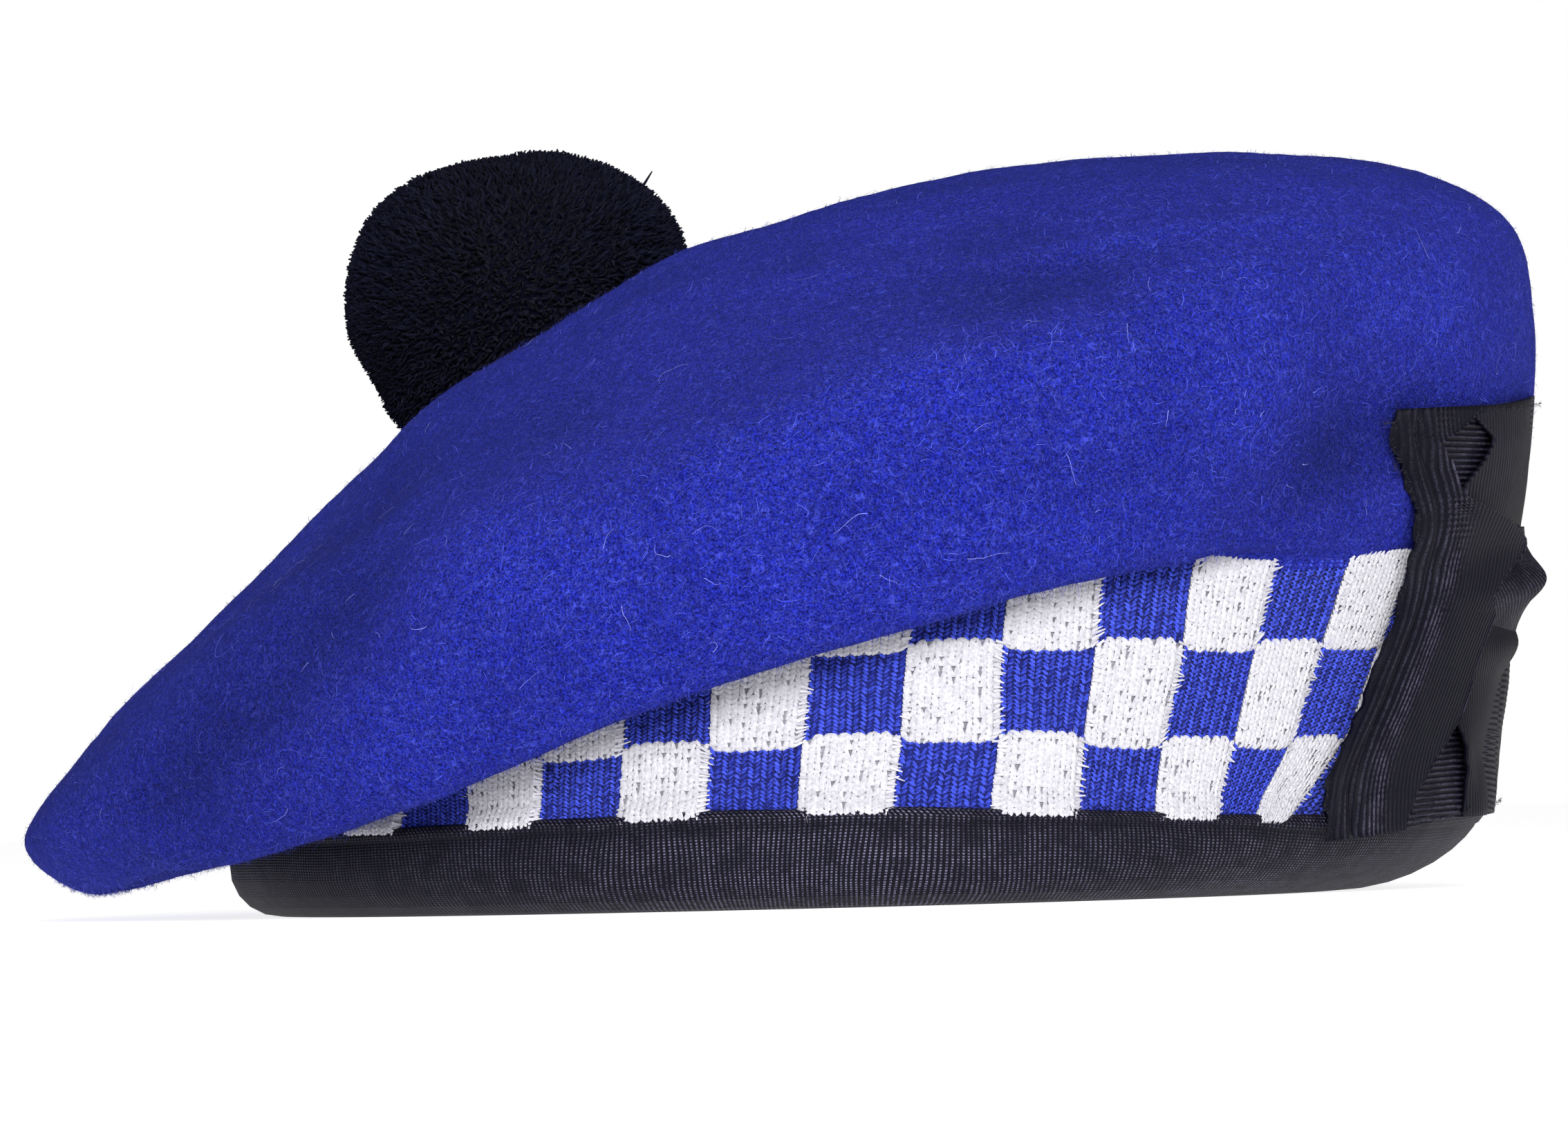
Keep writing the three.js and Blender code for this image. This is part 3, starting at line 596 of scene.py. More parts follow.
def crown_spots(count, seed, low=0.0):
    """Random spots on the felt, spread by area, with the normal, the ways up the section and aside, the
    generator and how much painted light the felt has there; low gathers them at the lower edge."""
    random = np.random.default_rng(seed)
    p = crown_points
    right = np.roll(p, -1, axis=1)
    area = np.linalg.norm(np.cross(right[:-1] - p[:-1], p[1:] - p[:-1]), axis=-1)
    area[:6] *= 0
    area = area * (1 - low + low * (crown_near[:-1] > 0.94))
    pick = random.choice(area.size, count, p=(area / area.sum()).ravel())
    i, j = np.divmod(pick, area.shape[1])
    s, t = random.random((2, count, 1))
    base = p[i, j]
    spot = base + s * (right[i, j] - base) + t * (p[i + 1, j] - base)
    up, side = unit(p[i + 1, j] - base), unit(right[i, j] - base)
    return spot, crown_out[i, j], up, side, random, 1.3 - crown_painted_shade[i, j]


def felt_fuzz():
    """The lying nap, the nap of the lower edge and the few long stray fibres."""
    count = NAP_FIBRES
    # light is the felt's painted light there: the nap and edge fibres are painted darker where the felt has painted
    # shade
    spot, out, up, side, random, light = crown_spots(count, 11)
    turn = random.normal(0, 1.2, (count, 1)) + 3.0 * noise(spot, 14, 5)[:, None]
    way = np.cos(turn) * side + np.sin(turn) * up
    length = random.uniform(0.7, 2.2, (count, 1))
    lift = random.uniform(0.05, 0.4, (count, 1))
    curl = random.normal(0, 0.35, (count, 1))
    side_way = np.cross(out, way)
    paths = np.stack([spot - 0.15 * out + way * length * s + out * length * lift * math.sin(1.9 * s)
                      + side_way * length * curl * s * s for s in (0, 0.5, 1.0)], 1)
    fibre_piece("crown_nap", paths, random.uniform(0.06, 0.1, count), out, FELT_FIBRE, "crown",
                random.random(count) ** 1.5 * light)
    count = EDGE_FIBRES
    spot, out, up, side, random, light = crown_spots(count, 17, low=1.0)
    turn, length = random.uniform(0, TURN, (count, 1)), random.gamma(3, 0.22, (count, 1))
    down = np.array([0, 0, -0.5])
    paths = np.stack([spot - 0.1 * out + length * t * (np.cos(turn + t) * side + np.sin(turn + t) * up + down)
                      + 0.2 * out * t for t in (0, 0.5, 1.0)], 1)
    fibre_piece("crown_edge_nap", paths, random.uniform(0.06, 0.1, count), out, FELT_FIBRE, "crown",
                random.uniform(0, 0.6, count) * light)
    count = STRAY_FIBRES
    spot, out, up, side, random, light = crown_spots(count, 23)
    turn = random.uniform(0, TURN, (count, 1))
    bend = random.normal(0, 0.16, (count, 1))
    length = random.gamma(2.2, 0.16, (count, 1))
    path = [spot + 0.15 * out]
    for k in range(8):
        turn = turn + bend + random.normal(0, 0.25, (count, 1))
        way = np.cos(turn) * side + np.sin(turn) * up
        path.append(path[-1] + length * way + out * random.uniform(-0.04, 0.1, (count, 1)))
    fibre_piece("crown_stray_fibres", np.stack(path, 1), random.uniform(0.045, 0.075, count), out, STRAY_FIBRE,
                "crown", random.random(count) ** 2)


felt_fuzz()

# ------ diced band
PAIRS = 22
PAIR_WALES = 14
WHITE_REACH = 3
COURSES = 56
CHECK_COURSES = np.array([0, 16, 36, 56])
LOOSE_WOOL = 6000
COCKADE_COVERS = (331, 349.5)

# Where the middle of a white check faces, low and high on the band, for pairs counted from the front.
CHECK_TOWARDS = [(-3, 221.7, 222.0), (-2, 237.3, 238.0), (-1, 253.0, 254.0), (0, 269.3, 271.2),
                 (1, 286.4, 288.0), (2, 301.2, 305.0), (3, 313.5, 321.5), (4, 329.0, 337.0),
                 (5, 347.0, 352.0), (6, 364.5, 366.0), (19, 581.7, 582.0)]
# How far the lowest row is pulled aside before the cockade: pairs from the front, degrees
PULL = [(2.3, 0), (2.75, 1.8), (3.25, 5.0), (3.7, 0)]


def uncovered(degrees):
    return (degrees <= COCKADE_COVERS[0]) | (degrees >= COCKADE_COVERS[1])


def wale_angle(wale, share):
    """Where a wale faces at a share of the band's height."""
    pair, low, high = np.array(CHECK_TOWARDS).T
    place = (wale / PAIR_WALES - pair[0]) % PAIRS + pair[0]
    turns = (wale / PAIR_WALES - place) / PAIRS * 360
    lean = (share - 0.15) / 0.68
    a, b = np.interp(place, pair, low), np.interp(place, pair, high)
    pull = np.interp(place, *np.array(PULL).T) * np.clip(1 - share / 0.32, 0, 1)
    return np.radians(a + (b - a) * lean - pull + turns)


def from_check(wale, row):
    """Wales from the middle of the nearest white check in a row of checks."""
    middle = np.where(row % 2 == 0, 0, PAIR_WALES / 2)
    return np.abs((wale - middle + PAIR_WALES / 2) % PAIR_WALES - PAIR_WALES / 2)


def check_row(course):
    return np.clip(np.searchsorted(CHECK_COURSES, course, side="right") - 1, 0, 2)


def band_point(wale, course, out):
    """A point of the knitting, out millimetres proud of the band's face."""
    wale, course, out = spread(wale, course, out)
    share = course / COURSES
    angle = wale_angle(wale, share)
    low, high = ribbon_height(angle) - 0.3, seam_height(angle)
    # a white check swells over the blue ones above and below it, and out of the face
    grow = np.stack([np.clip(WHITE_REACH + 0.5 - from_check(wale, np.full(wale.shape, row)), -1, 1)
                     for row in (0, 1, 2)])
    edges = np.stack([-0.25 * (grow[0] + 1), 0.75 * grow[0], 0.75 * grow[1], 0 * grow[2]])
    row = check_row(course)
    start, end = CHECK_COURSES[row], CHECK_COURSES[row + 1]
    part = (course - start) / (end - start)
    below, above = (np.take_along_axis(edges, row[None] + k, 0)[0] for k in (0, 1))
    height = low + (high - low) * share + (below * (1 - part) + above * part)
    flat = wall_at(angle, height, 0)
    inner = np.clip(course / 6, 0, 1) * np.clip((COURSES - course) / 6, 0, 1)
    height = height + 0.45 * noise(flat, 13, 21) * inner
    angle = angle + 0.6 / 95 * noise(flat, 11, 22) * inner
    puff = 0.15 * (np.take_along_axis(grow, row[None], 0)[0] + 1)
    puff = puff + 0.68 * (grow[0] + 1) * np.clip(1.5 - course / 3.5, 0, 1)
    return wall_at(angle, height, BAND_INSET - out - puff)


def stitches():
    """Every stitch of the band as two arms, apart from those under the cockade."""
    wale, course = np.divmod(np.arange(PAIRS * PAIR_WALES * COURSES, dtype=float), COURSES)
    seen = uncovered(np.degrees(wale_angle(wale, course / COURSES)) % 360)
    wale, course = wale[seen], course[seen]
    white = from_check(wale, check_row(course)) <= WHITE_REACH
    random = np.random.default_rng(31)
    count = len(wale)
    wobble = random.normal(0, 1, (2, count)) * [[0.022], [0.1]]
    fat = random.normal(1, 0.07, count)
    pinch = (random.random(count) < 0.17).astype(float)
    # each arm of a stitch: three stations of wales aside, courses up, half width and height over the face
    shapes = {
        "white": ((0.13, -0.75, 0.18, 0.0), (0.25, 0.1, 0.25, 0.3), (0.36, 0.95, 0.2, 0.05)),
        "blue": ((0.09, -0.55, 0.11, -0.15), (0.24, 0.05, 0.155, 0.36), (0.38, 0.65, 0.12, -0.1)),
    }
    for colour, chosen, material in (("white", white, KNIT_WHITE), ("blue", ~white, KNIT_BLUE)):
        for half in ("front", "back"):
            part = chosen & ((np.sin(wale_angle(wale, 0.5)) < 0) == (half == "front"))
            w, c, f, pinched = wale[part], course[part], fat[part], pinch[part]
            jw, jc = wobble[:, part]
            arms = []
            for side in (-1, 1):
                rows = []
                for aside, rise, wide, proud in shapes[colour]:
                    middle = w + jw + side * (aside + 0.05 * pinched)
                    height = np.clip(c + jc + 0.5 + rise, 0, COURSES + 0.4)
                    wide = wide * f * (1 - 0.33 * pinched)
                    proud = proud - (0.15 if side > 0 and colour == "blue" else 0)
                    rows.append(np.stack([band_point(middle + edge * wide, height, proud - 0.26 * abs(edge))
                                          for edge in (-1, 0, 1)], 1))
                arms.append(np.stack(rows, 1))
            points = np.concatenate(arms)
            # painted light and shade over random tone: the left arm of every stitch lighter, the right arm darker
            tone = np.concatenate([0.5 + 0.5 * random.random(len(w)), 0.1 + 0.6 * random.random(len(w))])
            tone = 0.5 + 0.3 * tone if colour == "white" else tone
            make_piece(f"band_{colour}_{half}", points, patch_faces(len(points), 3, 3), material, "diced_band",
                       tone=np.repeat(tone, 9))


stitches()


def band_wool():
    """White ends that reach over the checks' upright edges, and loose wool over the knitting."""
    random = np.random.default_rng(53)
    paths = []
    for row in range(3):
        middle = 0 if row % 2 == 0 else PAIR_WALES / 2
        courses = np.arange(CHECK_COURSES[row], CHECK_COURSES[row + 1], 0.9)
        side = np.tile([-1, 1], PAIRS)
        edge = middle + np.repeat(np.arange(PAIRS), 2) * PAIR_WALES + side * (WHITE_REACH + 0.45)
        w, c = np.meshgrid(edge, courses)
        way = np.broadcast_to(side, w.shape).ravel()
        keep = (way > 0) | (random.random(w.size) < 0.2)
        w, c, way = w.ravel()[keep], c.ravel()[keep], way[keep]
        c = c + random.normal(0, 0.2, w.size)
        reach = random.gamma(5, 0.05, w.size) * np.where(way > 0, 1.2, 0.5)
        rise = random.normal(0, 0.45, w.size)
        paths.append(np.stack([band_point(w - way * 0.5 + way * (reach + 0.5) * t,
                                          np.clip(c + rise * t, 0.1, COURSES), 0.45 - 0.25 * t)
                               for t in (0, 0.4, 0.75, 1.0)], 1))
    paths = np.concatenate(paths)
    paths = paths[uncovered(direction(paths[:, 0]))]
    fibre_piece("band_edge_wool", paths, random.uniform(0.3, 0.46, len(paths)), outward(paths[:, 0]),
                KNIT_WHITE_FIBRE, "diced_band", random.random(len(paths)))
    count = LOOSE_WOOL
    w, c = random.uniform(0, PAIRS * PAIR_WALES, count), random.uniform(0.6, COURSES, count)
    turn, length = random.uniform(0, TURN, count), random.uniform(0.2, 0.7, count)
    paths = np.stack([band_point(w + length * t * np.cos(turn + 0.9 * t),
                                 c + 3 * length * t * np.sin(turn + 0.9 * t), 0.25 + 0.35 * t)
                      for t in (0, 0.5, 1.0)], 1)
    keep = uncovered(direction(paths[:, 0]))
    white = from_check(w, check_row(c)) <= WHITE_REACH + 0.5
    for colour, part, material in (("white", keep & white, KNIT_WHITE_FIBRE), ("blue", keep & ~white, FELT_FIBRE)):
        fibre_piece(f"band_wool_{colour}", paths[part], random.uniform(0.04, 0.08, part.sum()),
                    outward(paths[part][:, 0]), material, "diced_band",
                    random.uniform(0.4, 1, part.sum()))


def band_ground():
    """The shaded knitting behind the stitches."""
    wales = np.linspace(0, PAIRS * PAIR_WALES, PAIRS * PAIR_WALES + 1) - 0.5
    courses = np.linspace(0, COURSES, COURSES // 2 + 1)
    w, c = np.meshgrid(wales, courses)
    points = band_point(w, c, -0.35)
    faces = patch_faces(1, len(courses), len(wales))
    w, c = ((v[:-1, :-1] + v[1:, 1:]).ravel() / 2 for v in (w, c))
    white = from_check(w, check_row(c)) <= WHITE_REACH + 0.5
    tone = noise(points.reshape(-1, 3), 3, 9) * 0.5 + 0.5
    for colour, part, material in (("white", white, KNIT_SHADE_WHITE), ("blue", ~white, KNIT_SHADE)):
        make_piece(f"band_ground_{colour}", points, faces[part], material, "diced_band", tone=tone)


def band_inside():
    """The band's plain inner face, from under the ribbon's edge to the seam."""
    angles = turns(220)
    low, high = 12, seam_height(angles)
    rows = [wall_at(angles, low + (high - low) * share, BAND_INSET + KNIT_THICKNESS)
            for share in np.linspace(0, 1, 12)]
    inner = np.array(rows + [wall_at(angles, high, BAND_INSET + 0.3)])
    make_piece("band_inside", inner, patch_faces(1, len(inner), len(angles), closed=True), KNIT_INSIDE,
               "diced_band", tone=np.full(inner.shape[:2], 0.4), flip=True)


band_ground()
band_wool()
band_inside()

# ------ rim ribbon
RIBS = 780
PICK = 0.44


def rim_ribbon():
    """The bound ribbon: one strip folded round the band's edge, with its ribs upright."""
    columns = RIBS + 1
    angles = np.linspace(0, TURN, columns) + math.pi / 2
    rib = np.linspace(0, RIBS, columns)
    far = RIM_THICKNESS
    flat = np.zeros(columns)
    edge = turn_of_height(angles, ribbon_height(angles) + 0.15 * noise(wall_at(angles, flat, flat), 8, 4))
    inside_edge = turn_of_height(angles, np.full(columns, 13.0))
    # the section as (depth, turn): edge, stitched strip and groove, face, fold under the rim, inner face
    path = [(RIBBON_THICKNESS, edge), (0.5, edge + 0.03), (-0.05, edge), (-0.22, edge * 0.95),
            (-0.12, edge * 0.905), (0.12, edge * 0.885), (0.05, edge * 0.86)]
    path += [(0, edge * s) for s in (0.78, 0.67, 0.54, 0.4, 0.27, 0.13, 0)]
    path += [(0, flat - 0.2), (0.3, flat - 0.38), (1.2, flat - 0.43), (far - 1.2, flat - 0.43),
             (far - 0.2, flat - 0.34), (far, flat), (far, inside_edge * 0.5), (far, inside_edge),
             (far - RIBBON_THICKNESS, inside_edge)]
    rows, warps = [], []
    for depth, turn in path:
        bare = wall_point(angles, turn, depth)
        rows.append(bare)
        slant = 1.1 * (4 - len(rows)) if len(rows) < 4 else 0
        warps.append(rib + 1.6 * noise(bare, 19, 13) + 0.5 * noise(bare, 6, 12) + slant)
    points = np.array(rows)
    wander = 0.14 * noise(points, 9, 14)
    points = points + outward(points) * (wander * np.clip(points[..., 2] / 5, 0, 1))[..., None]
    lengths = np.concatenate([[0], np.cumsum(np.linalg.norm(np.diff(points, axis=0), axis=-1).mean(axis=1))])
    v = np.broadcast_to(lengths[:, None] / PICK, points.shape[:2]) + 0.8 * noise(points, 20, 16)
    tone = 0.65 + 0.5 * noise(points, 24, 18) + 0.35 * bump_at(np.degrees(angles) % 360, 273, 15)
    # painted highlight on the raised top edge and painted shade in the groove beneath it
    tone[:7] *= np.array([1.2, 1.2, 1.2, 1.0, 0.6, 0.25, 0.5])[:, None]
    make_piece("rim_grosgrain", points, patch_faces(1, len(rows), columns), GROSGRAIN, "rim_ribbon",
               uv=np.stack([np.array(warps), v], -1), tone=tone, flip=True)


rim_ribbon()

# ------ pompom
YARN_ENDS = 15800
# Where the pompom is fuller than round in the front view: direction and width in degrees, share
SWELL = [(137, 28, 0.135), (207, 18, -0.085), (25, 18, 0.02)]


def pompom():
    """A dense core with cut ends of yarn standing out of it, one of them astray."""
    random = np.random.default_rng(47)
    around = crown_surface(turns(24), [11.5])[0][0]
    up = unit(np.cross(around[6] - around[18], around[12] - around[0]))
    up = up if up[2] > 0 else -up
    centre = BUTTON + up * POMPOM_SEAT + [0.9, 0, 0.5]
    side = unit(np.cross(up, [0, 1, 0]))
    front = np.cross(side, up)
    frame_axes = np.stack([side, front, up])

    def place(local):
        way = unit(local) @ frame_axes
        turn = np.degrees(np.arctan2(way[..., 2], way[..., 0])) % 360
        swell = sum(share * bump_at(turn, towards, wide) for towards, wide, share in SWELL)
        swell = swell * (1 - way[..., 1] ** 2)
        return centre + (local * (1 + swell[..., None]) * [1.005, 1, POMPOM_FLATNESS * 0.96]) @ frame_axes

    # the dense core
    rows, columns = 48, 72
    t = np.linspace(0.01, math.pi - 0.01, rows)[:, None]
    a = turns(columns)[None, :]
    ball = np.stack([np.sin(t) * np.cos(a), np.sin(t) * np.sin(a), np.cos(t) * np.ones_like(a)], -1)
    core = place(ball * (POMPOM_RADIUS - 1.9))
    make_piece("toorie_core", core, patch_faces(1, rows, columns, closed=True), YARN, "toorie",
               tone=np.full((rows, columns), 0.1), flip=True)
    # the cut yarn ends
    count = YARN_ENDS
    k = np.arange(count) + 0.5
    rise = 1 - 2 * k / count
    turn = k * math.pi * (3 - math.sqrt(5)) + random.normal(0, 0.01, count)
    flat = np.sqrt(1 - rise**2)
    way = np.stack([flat * np.cos(turn), flat * np.sin(turn), rise], -1)
    way = unit(way + random.normal(0, 0.01, way.shape))
    lean = unit(way + random.normal(0, 0.2, way.shape))
    bent = unit(lean + random.normal(0, 0.3, way.shape))
    root = way * (POMPOM_RADIUS - 2.6)
    paths = np.stack([root, root + lean * 1.7, root + lean * 2.0 + bent * 1.1], 1)
    tip = POMPOM_RADIUS - 0.1 + 0.35 * noise(way * POMPOM_RADIUS, 4, 3) + random.normal(0, 0.14, count)
    tip[np.argmax((way @ frame_axes) @ unit(np.array([0.7, -0.1, 0.7])))] += 2.6
    reach = np.linalg.norm(paths[:, 2], axis=-1)
    paths *= (1 + (tip / reach - 1)[:, None, None] * np.array([0.0, 0.5, 1.0])[None, :, None])
    thick = random.uniform(0.26, 0.4, count)[:, None, None] * np.array([1.0, 1.0, 0.45])[None, :, None]
    one = unit(np.cross(lean, [0.3, 0.2, 0.9]))
    two = np.cross(lean, one)
    ring = [paths + thick * (math.cos(corner) * one + math.sin(corner) * two)[:, None]
            for corner in (0, TURN / 3, 2 * TURN / 3)]
    make_piece("toorie_ends", place(np.stack(ring, 2)), patch_faces(count, 3, 3, closed=True), YARN, "toorie",
               tone=np.repeat(random.random(count), 9))


pompom()

# ------ cockade
def shifted(table, k):
    index = np.clip(np.arange(table.shape[1]) + k, 0, table.shape[1] - 1)
    return table[:, index]


def hat_side():
    """The hat's outside under the cockade as tables over direction and height."""
    angles = np.radians(np.arange(290, 391, 1.0))
    heights = np.arange(4, 76, 0.5)
    wall = wall_at(angles[:, None], heights[None, :], 0)
    points = crown_surface(angles, crown_places())[0]
    for i, angle in enumerate(angles):
        z = np.maximum.accumulate(points[:, i, 2])
        z = z + np.arange(len(z)) * 1e-6
        above = heights >= seam_height(angle) + GAP
        for axis in (0, 1):
            wall[i, above, axis] = np.interp(heights[above], z, points[:, i, axis])
    reach = np.linalg.norm(wall[..., :2], axis=-1)
    bridged = np.max([shifted(reach, k) for k in range(-10, 11)], axis=0)
    weights = bump_at(np.arange(-8, 9), 0, 5)
    weights /= weights.sum()
    smooth = sum(weight * shifted(bridged, k) for k, weight in zip(range(-8, 9), weights))
    return angles, heights, np.arctan2(wall[..., 1], wall[..., 0]), np.maximum(smooth, reach)


side_angles, side_heights, side_way, side_reach = hat_side()


def cockade_point(across, up, out):
    """A point by shares of half the width and of the height, out millimetres proud of the hat's side."""
    across, up, out = spread(across, up, out)
    radius = (RIM_WIDTH + RIM_DEPTH) / 4
    angle = math.radians(COCKADE_TOWARDS) + across * COCKADE_WIDTH / 2 / radius
    height = COCKADE_FLOOR + up * COCKADE_HEIGHT + across * COCKADE_LEAN
    i, j = (np.clip((v - steps[0]) / (steps[1] - steps[0]), 0, len(steps) - 1.001)
            for v, steps in ((angle, side_angles), (height, side_heights)))
    a, b = i.astype(int), j.astype(int)
    s, t = i - a, j - b
    way, reach = (table[a, b] * (1 - s) * (1 - t) + table[a + 1, b] * s * (1 - t)
                  + table[a, b + 1] * (1 - s) * t + table[a + 1, b + 1] * s * t
                  for table in (side_way, side_reach))
    reach = reach + out
    return np.stack([reach * np.cos(way), reach * np.sin(way), height], -1)


# Millimetres from rib to rib, in the folds and in the layers whose ribs run across
FOLD_RIB = 0.9
CROSS_RIB = 0.8

# Edges of the cockade's folds: rows of [share of the height, share of half the width].
OUTER_LEFT = [(0, -1.07), (0.1, -1.12), (0.175, -1.07), (0.258, -0.95), (0.352, -0.82), (0.445, -0.72),
              (0.52, -0.62), (0.593, -0.55), (0.662, -0.53), (0.748, -0.58), (0.82, -0.64), (0.875, -0.72),
              (0.935, -0.82), (1, -0.8)]
OUTER_RIGHT = [(0, 0.5), (0.08, 0.46), (0.15, 0.36), (0.22, 0.44), (0.3, 0.58), (0.42, 0.74), (0.5, 0.66),
               (0.6, 0.76), (0.8, 0.72), (1, 0.64)]
LEFT_FOLD = [(0, -0.6), (0.08, -0.52), (0.263, -0.1), (0.4, 0.06), (0.49, 0.14), (0.532, 0.08), (0.593, 0.22),
             (0.647, 0.38), (0.688, 0.24), (0.73, 0.0), (0.765, -0.26), (0.78, -0.33), (0.92, -0.57), (0.94, -0.45),
             (1, -0.25)]
RIGHT_FOLD = [(0, 0.1), (0.105, 0.08), (0.2, -0.04), (0.263, -0.14), (0.5, -0.3), (0.73, -0.42), (0.765, -0.34),
              (0.78, -0.29), (0.92, -0.04), (0.94, -0.14), (1, -0.35)]
PEAK_LEFT = [(0.37, 0.1), (0.46, 0.02), (0.5, -0.03), (0.57, 0.06), (0.62, 0.24), (0.69, 0.16)]
PEAK_RIGHT = [(0.37, 0.64), (0.47, 0.74), (0.57, 0.82), (0.62, 0.78), (0.69, 0.66)]


def edge_at(rows, soft=0.004):
    """A table's second column as a function of the first, its corners softened."""
    up, across = np.array(rows).T
    return lambda v: sum(np.interp(v + k * soft, up, across) for k in range(-2, 3)) / 5


def cockade_sheet(name, node, left, right, out, ribs, shape, low=0.0, high=1.0, thick=0.6):
    """A folded layer of ribbon with shape rows and columns. left and right give its edges, out how far
    it stands out, and ribs the rib's number and how clearly it shows, with painted highlights and painted shade."""
    calm = edge_at(OUTER_LEFT, 0.04)
    rows, columns = shape
    up, u = np.meshgrid(np.linspace(low, high, rows), np.linspace(0, 1, columns), indexing="ij")
    ragged = 0.01 * noise(np.stack([up * 57, u * 0, up * 0], -1), 1.6, 7)
    across = left(up) + (right(up) - left(up)) * u + ragged * (np.abs(u - 0.5) * 2) ** 8
    number, clear = ribs(across, up, (across - calm(up)) * COCKADE_WIDTH / 2, u)
    relief = 0.2 if max(shape) > 150 else 0.0
    proud = out(u, up, (across - left(up)) * COCKADE_WIDTH / 2)
    proud = proud + 0.45 * noise(np.stack([across * 30, up * 57, up * 0], -1), 9, 5)
    lifted = up * (1.005 + 0.02 * np.clip(-across, 0, 1)) - 0.035 * np.clip(across, 0, 1) * (1 - up)
    front = cockade_point(across, lifted, proud + relief * clear * np.cos(number * TURN))
    back = cockade_point(across, lifted, np.maximum(proud - thick, 0.15))
    faces = patch_faces(1, rows, columns)
    count = rows * columns
    edge = np.concatenate([np.arange(columns - 1), np.arange(rows - 1) * columns + columns - 1,
                           count - 1 - np.arange(columns - 1), (rows - 1 - np.arange(rows - 1)) * columns])
    following = np.roll(edge, -1)
    rim = np.stack([edge + count, following + count, following, edge], -1)
    uv = np.stack([number, (up * COCKADE_HEIGHT + across * 8) / PICK], -1)
    make_piece(name, np.stack([front, back]), np.concatenate([faces, faces[:, ::-1] + count, rim]),
               GROSGRAIN_FINE, node, uv=np.concatenate([uv.reshape(-1, 2)] * 2),
               tone=np.concatenate([clear.ravel()] * 2))


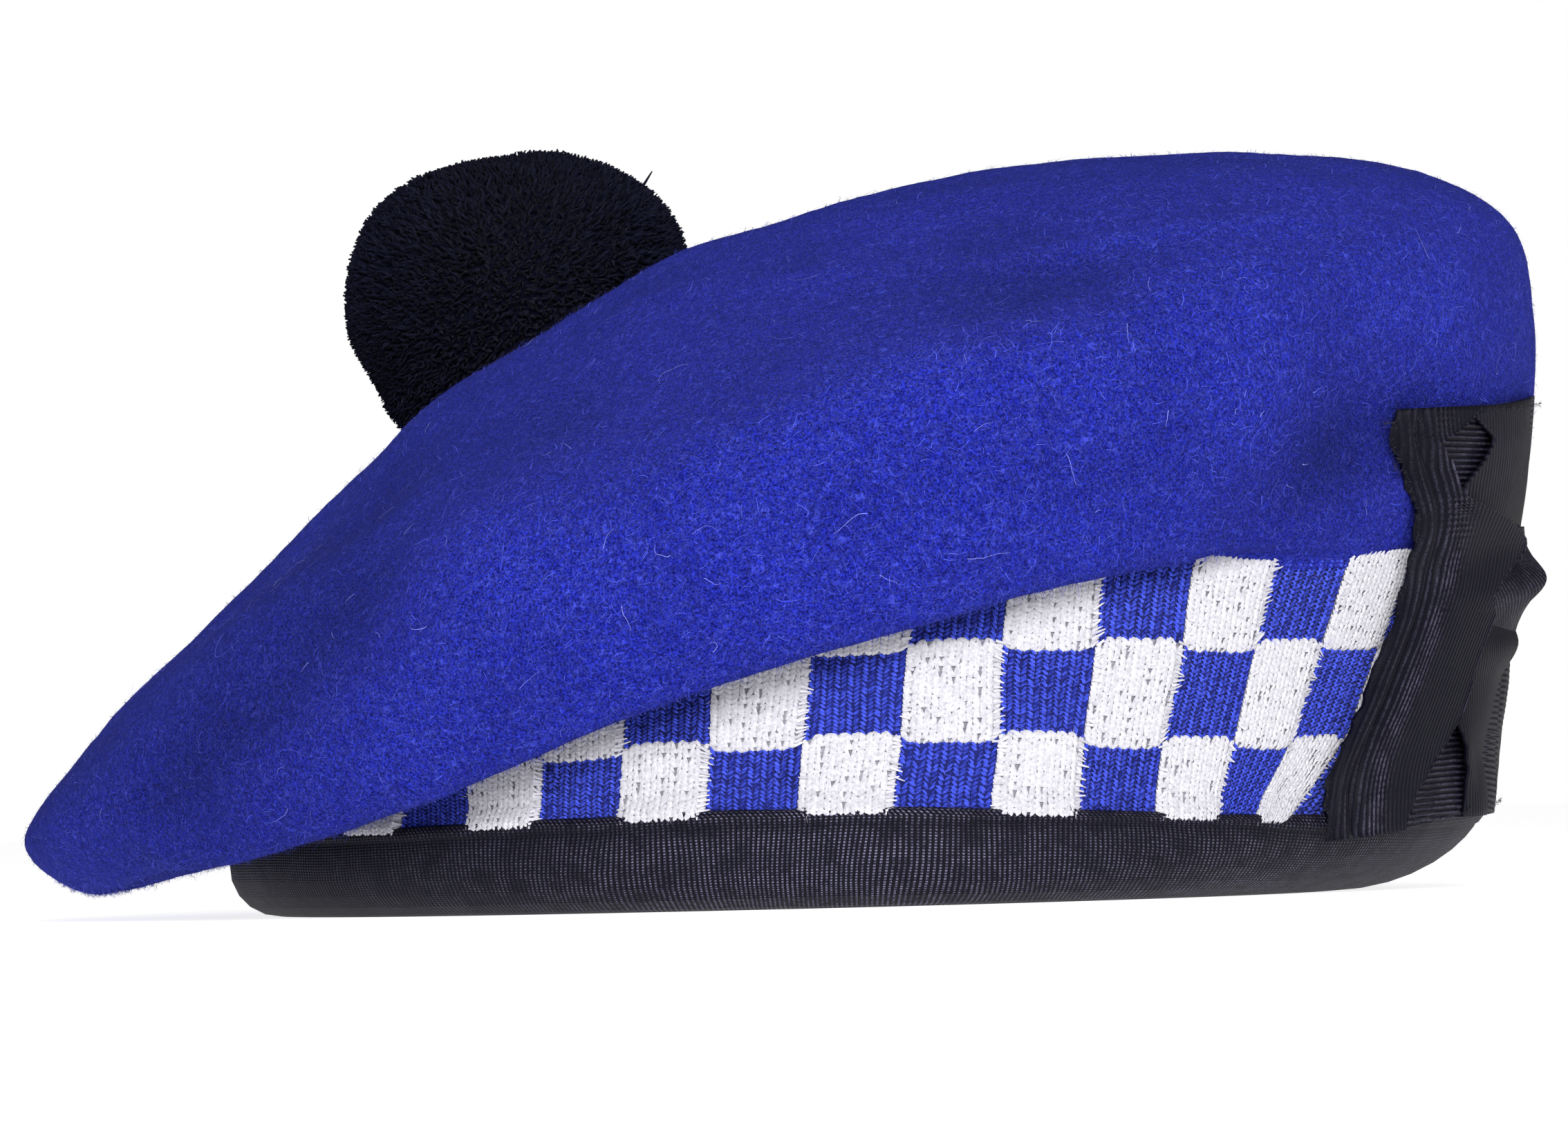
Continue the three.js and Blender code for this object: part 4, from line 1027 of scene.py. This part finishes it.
def cockade():
    left, right = edge_at(OUTER_LEFT, 0.015), edge_at(OUTER_RIGHT, 0.015)
    left_inner, right_inner = edge_at(LEFT_FOLD), edge_at(RIGHT_FOLD)
    # u is the share of the layer's width, v of the height, a of half the cockade's width, and d counts
    # millimetres from the layer's left edge, or in the ribs from the cockade's. The second number the ribs give
    # is how clearly they show, with painted highlights along the folds' ridges, roll and edges, and painted
    # shade in the valleys between them and on the flat layer under and beside the right fold.
    cockade_sheet("cockade_flat", "cockade_back",
                  lambda v: left(v) + 0.08, lambda v: 0.9 + 0 * v,
                  lambda u, v, d: 0.7 - 0.55 * u,
                  lambda a, v, d, u: ((v * COCKADE_HEIGHT + 1.5 * a) / CROSS_RIB,
                                      0.8 * np.clip((0.62 - a) * 5, 0.2, 1)),
                  (290, 18))
    cockade_sheet("cockade_fold_right", "cockade_loop_right", right_inner, right,
                  lambda u, v, d: 1.2 + 0.6 * np.sin(math.pi * u) - 0.4 * u + 1.5 * bump_at(v, 0.4, 0.05) * u
                  + 1.2 * bump_at(v, 0.17, 0.09) * bump_at(u, 0, 0.3) + 0.8 * bump_at(v, 0.88, 0.1) * (1 - u) ** 2,
                  lambda a, v, d, u: ((a + 0.4 * v) * 30 / FOLD_RIB, 0.06 + 0.25 * bump_at(v, 0.9, 0.1)
                                      + 0.5 * bump_at(v, 0.62, 0.12) * np.clip(1 - u * 1.6, 0, 1)),
                  (90, 70))
    cockade_sheet("cockade_fold_left", "cockade_loop_left", left, left_inner,
                  lambda u, v, d: 0.5 + 2.0 * (1 - np.exp(-d)) - 1.1 * bump_at(d, 3.8, 1.2)
                  + (0.4 + 2.2 * bump_at(v, 0.66, 0.16)) * u**1.5,
                  lambda a, v, d, u: (d / FOLD_RIB, 0.06
                                      + 0.9 * bump_at(d, 7.4, 2.6) * np.clip((0.98 - v) * 6, 0.25, 1)
                                      + 0.3 * bump_at(d, 1.8, 0.9) + 0.5 * bump_at(u, 1, 0.03)),
                  (70, 170))
    cockade_sheet("cockade_fold_middle", "cockade_pleat", edge_at(PEAK_LEFT), edge_at(PEAK_RIGHT),
                  lambda u, v, d: 1.6 + 4.4 * bump_at(v, 0.56, 0.065) * np.clip(u * 1.25, 0, 1) ** 1.5
                  * (1 - 0.35 * np.clip(u * 5 - 4, 0, 1)),
                  lambda a, v, d, u: (((v - 0.5) * COCKADE_HEIGHT + np.abs(a - 0.22) * 27) / CROSS_RIB, 0.75 + 0 * a),
                  (70, 60), low=0.37, high=0.69)
    # threads at the left edge, the top and the foot
    random = np.random.default_rng(61)
    v = np.concatenate([random.uniform(0, 1, 900), np.full(260, 0.99), np.full(260, 0.01)])
    a = np.concatenate([left(v[:900]) + random.uniform(-0.01, 0.08, 900), random.uniform(-0.9, 0.7, 260),
                        random.uniform(-1.05, 0.7, 260)])
    turn, length = random.uniform(0, TURN, len(v)), random.gamma(3, 0.2, len(v))
    paths = np.stack([cockade_point(a + length * t * np.cos(turn + t) / 30, v + length * t * np.sin(turn + t) / 57,
                                    0.7 + 0.9 * (a > left(v) + 0.05) + 0.3 * t) for t in (0, 0.5, 1.0)], 1)
    fibre_piece("cockade_frayed_edges", paths, random.uniform(0.07, 0.14, len(v)), outward(paths[:, 0]),
                RIBBON_FIBRE, "cockade_back", random.random(len(v)))


cockade()

# ------ stage and light
def stage():
    mesh = bpy.data.meshes.new("floor")
    mesh.from_pydata([(-6, -6, 0), (6, -6, 0), (6, 6, 0), (-6, 6, 0)], [], [(0, 1, 2, 3)])
    floor = add_object("floor", mesh)
    s = Shader("floor")
    s.set(Base_Color=(0.6, 0.6, 0.6, 1), Roughness=0.9, Specular_IOR_Level=0.1,
          Emission_Color=(1, 1, 1, 1), Emission_Strength=0.82)
    mesh.materials.append(s.material)
    world = bpy.data.worlds.new("studio")
    world.use_nodes = True
    tree = world.node_tree
    lit = tree.nodes["Background"]
    seen = tree.nodes.new("ShaderNodeBackground")
    for background, strength in ((lit, 0.25), (seen, 1.0)):
        background.inputs["Color"].default_value = (1, 1, 1, 1)
        background.inputs["Strength"].default_value = strength
    ray = tree.nodes.new("ShaderNodeLightPath")
    pick = tree.nodes.new("ShaderNodeMixShader")
    for source, socket in zip((ray.outputs["Is Camera Ray"], lit.outputs[0], seen.outputs[0]), pick.inputs):
        tree.links.new(source, socket)
    tree.links.new(pick.outputs[0], tree.nodes["World Output"].inputs["Surface"])
    bpy.context.scene.world = world
    for name, place, size, power in (("key", (0.05, -1.5, 0.5), 0.6, 26), ("fill", (1.2, -0.7, 0.5), 0.7, 3)):
        light = bpy.data.lights.new(name, "AREA")
        light.energy = power
        light.size = size
        lamp = add_object(name, light)
        lamp.location = place
        lamp.rotation_euler = (Vector((0, 0, 0.05)) - Vector(place)).to_track_quat("-Z", "Y").to_euler()
    bpy.context.scene.view_settings.view_transform = "Standard"


stage()
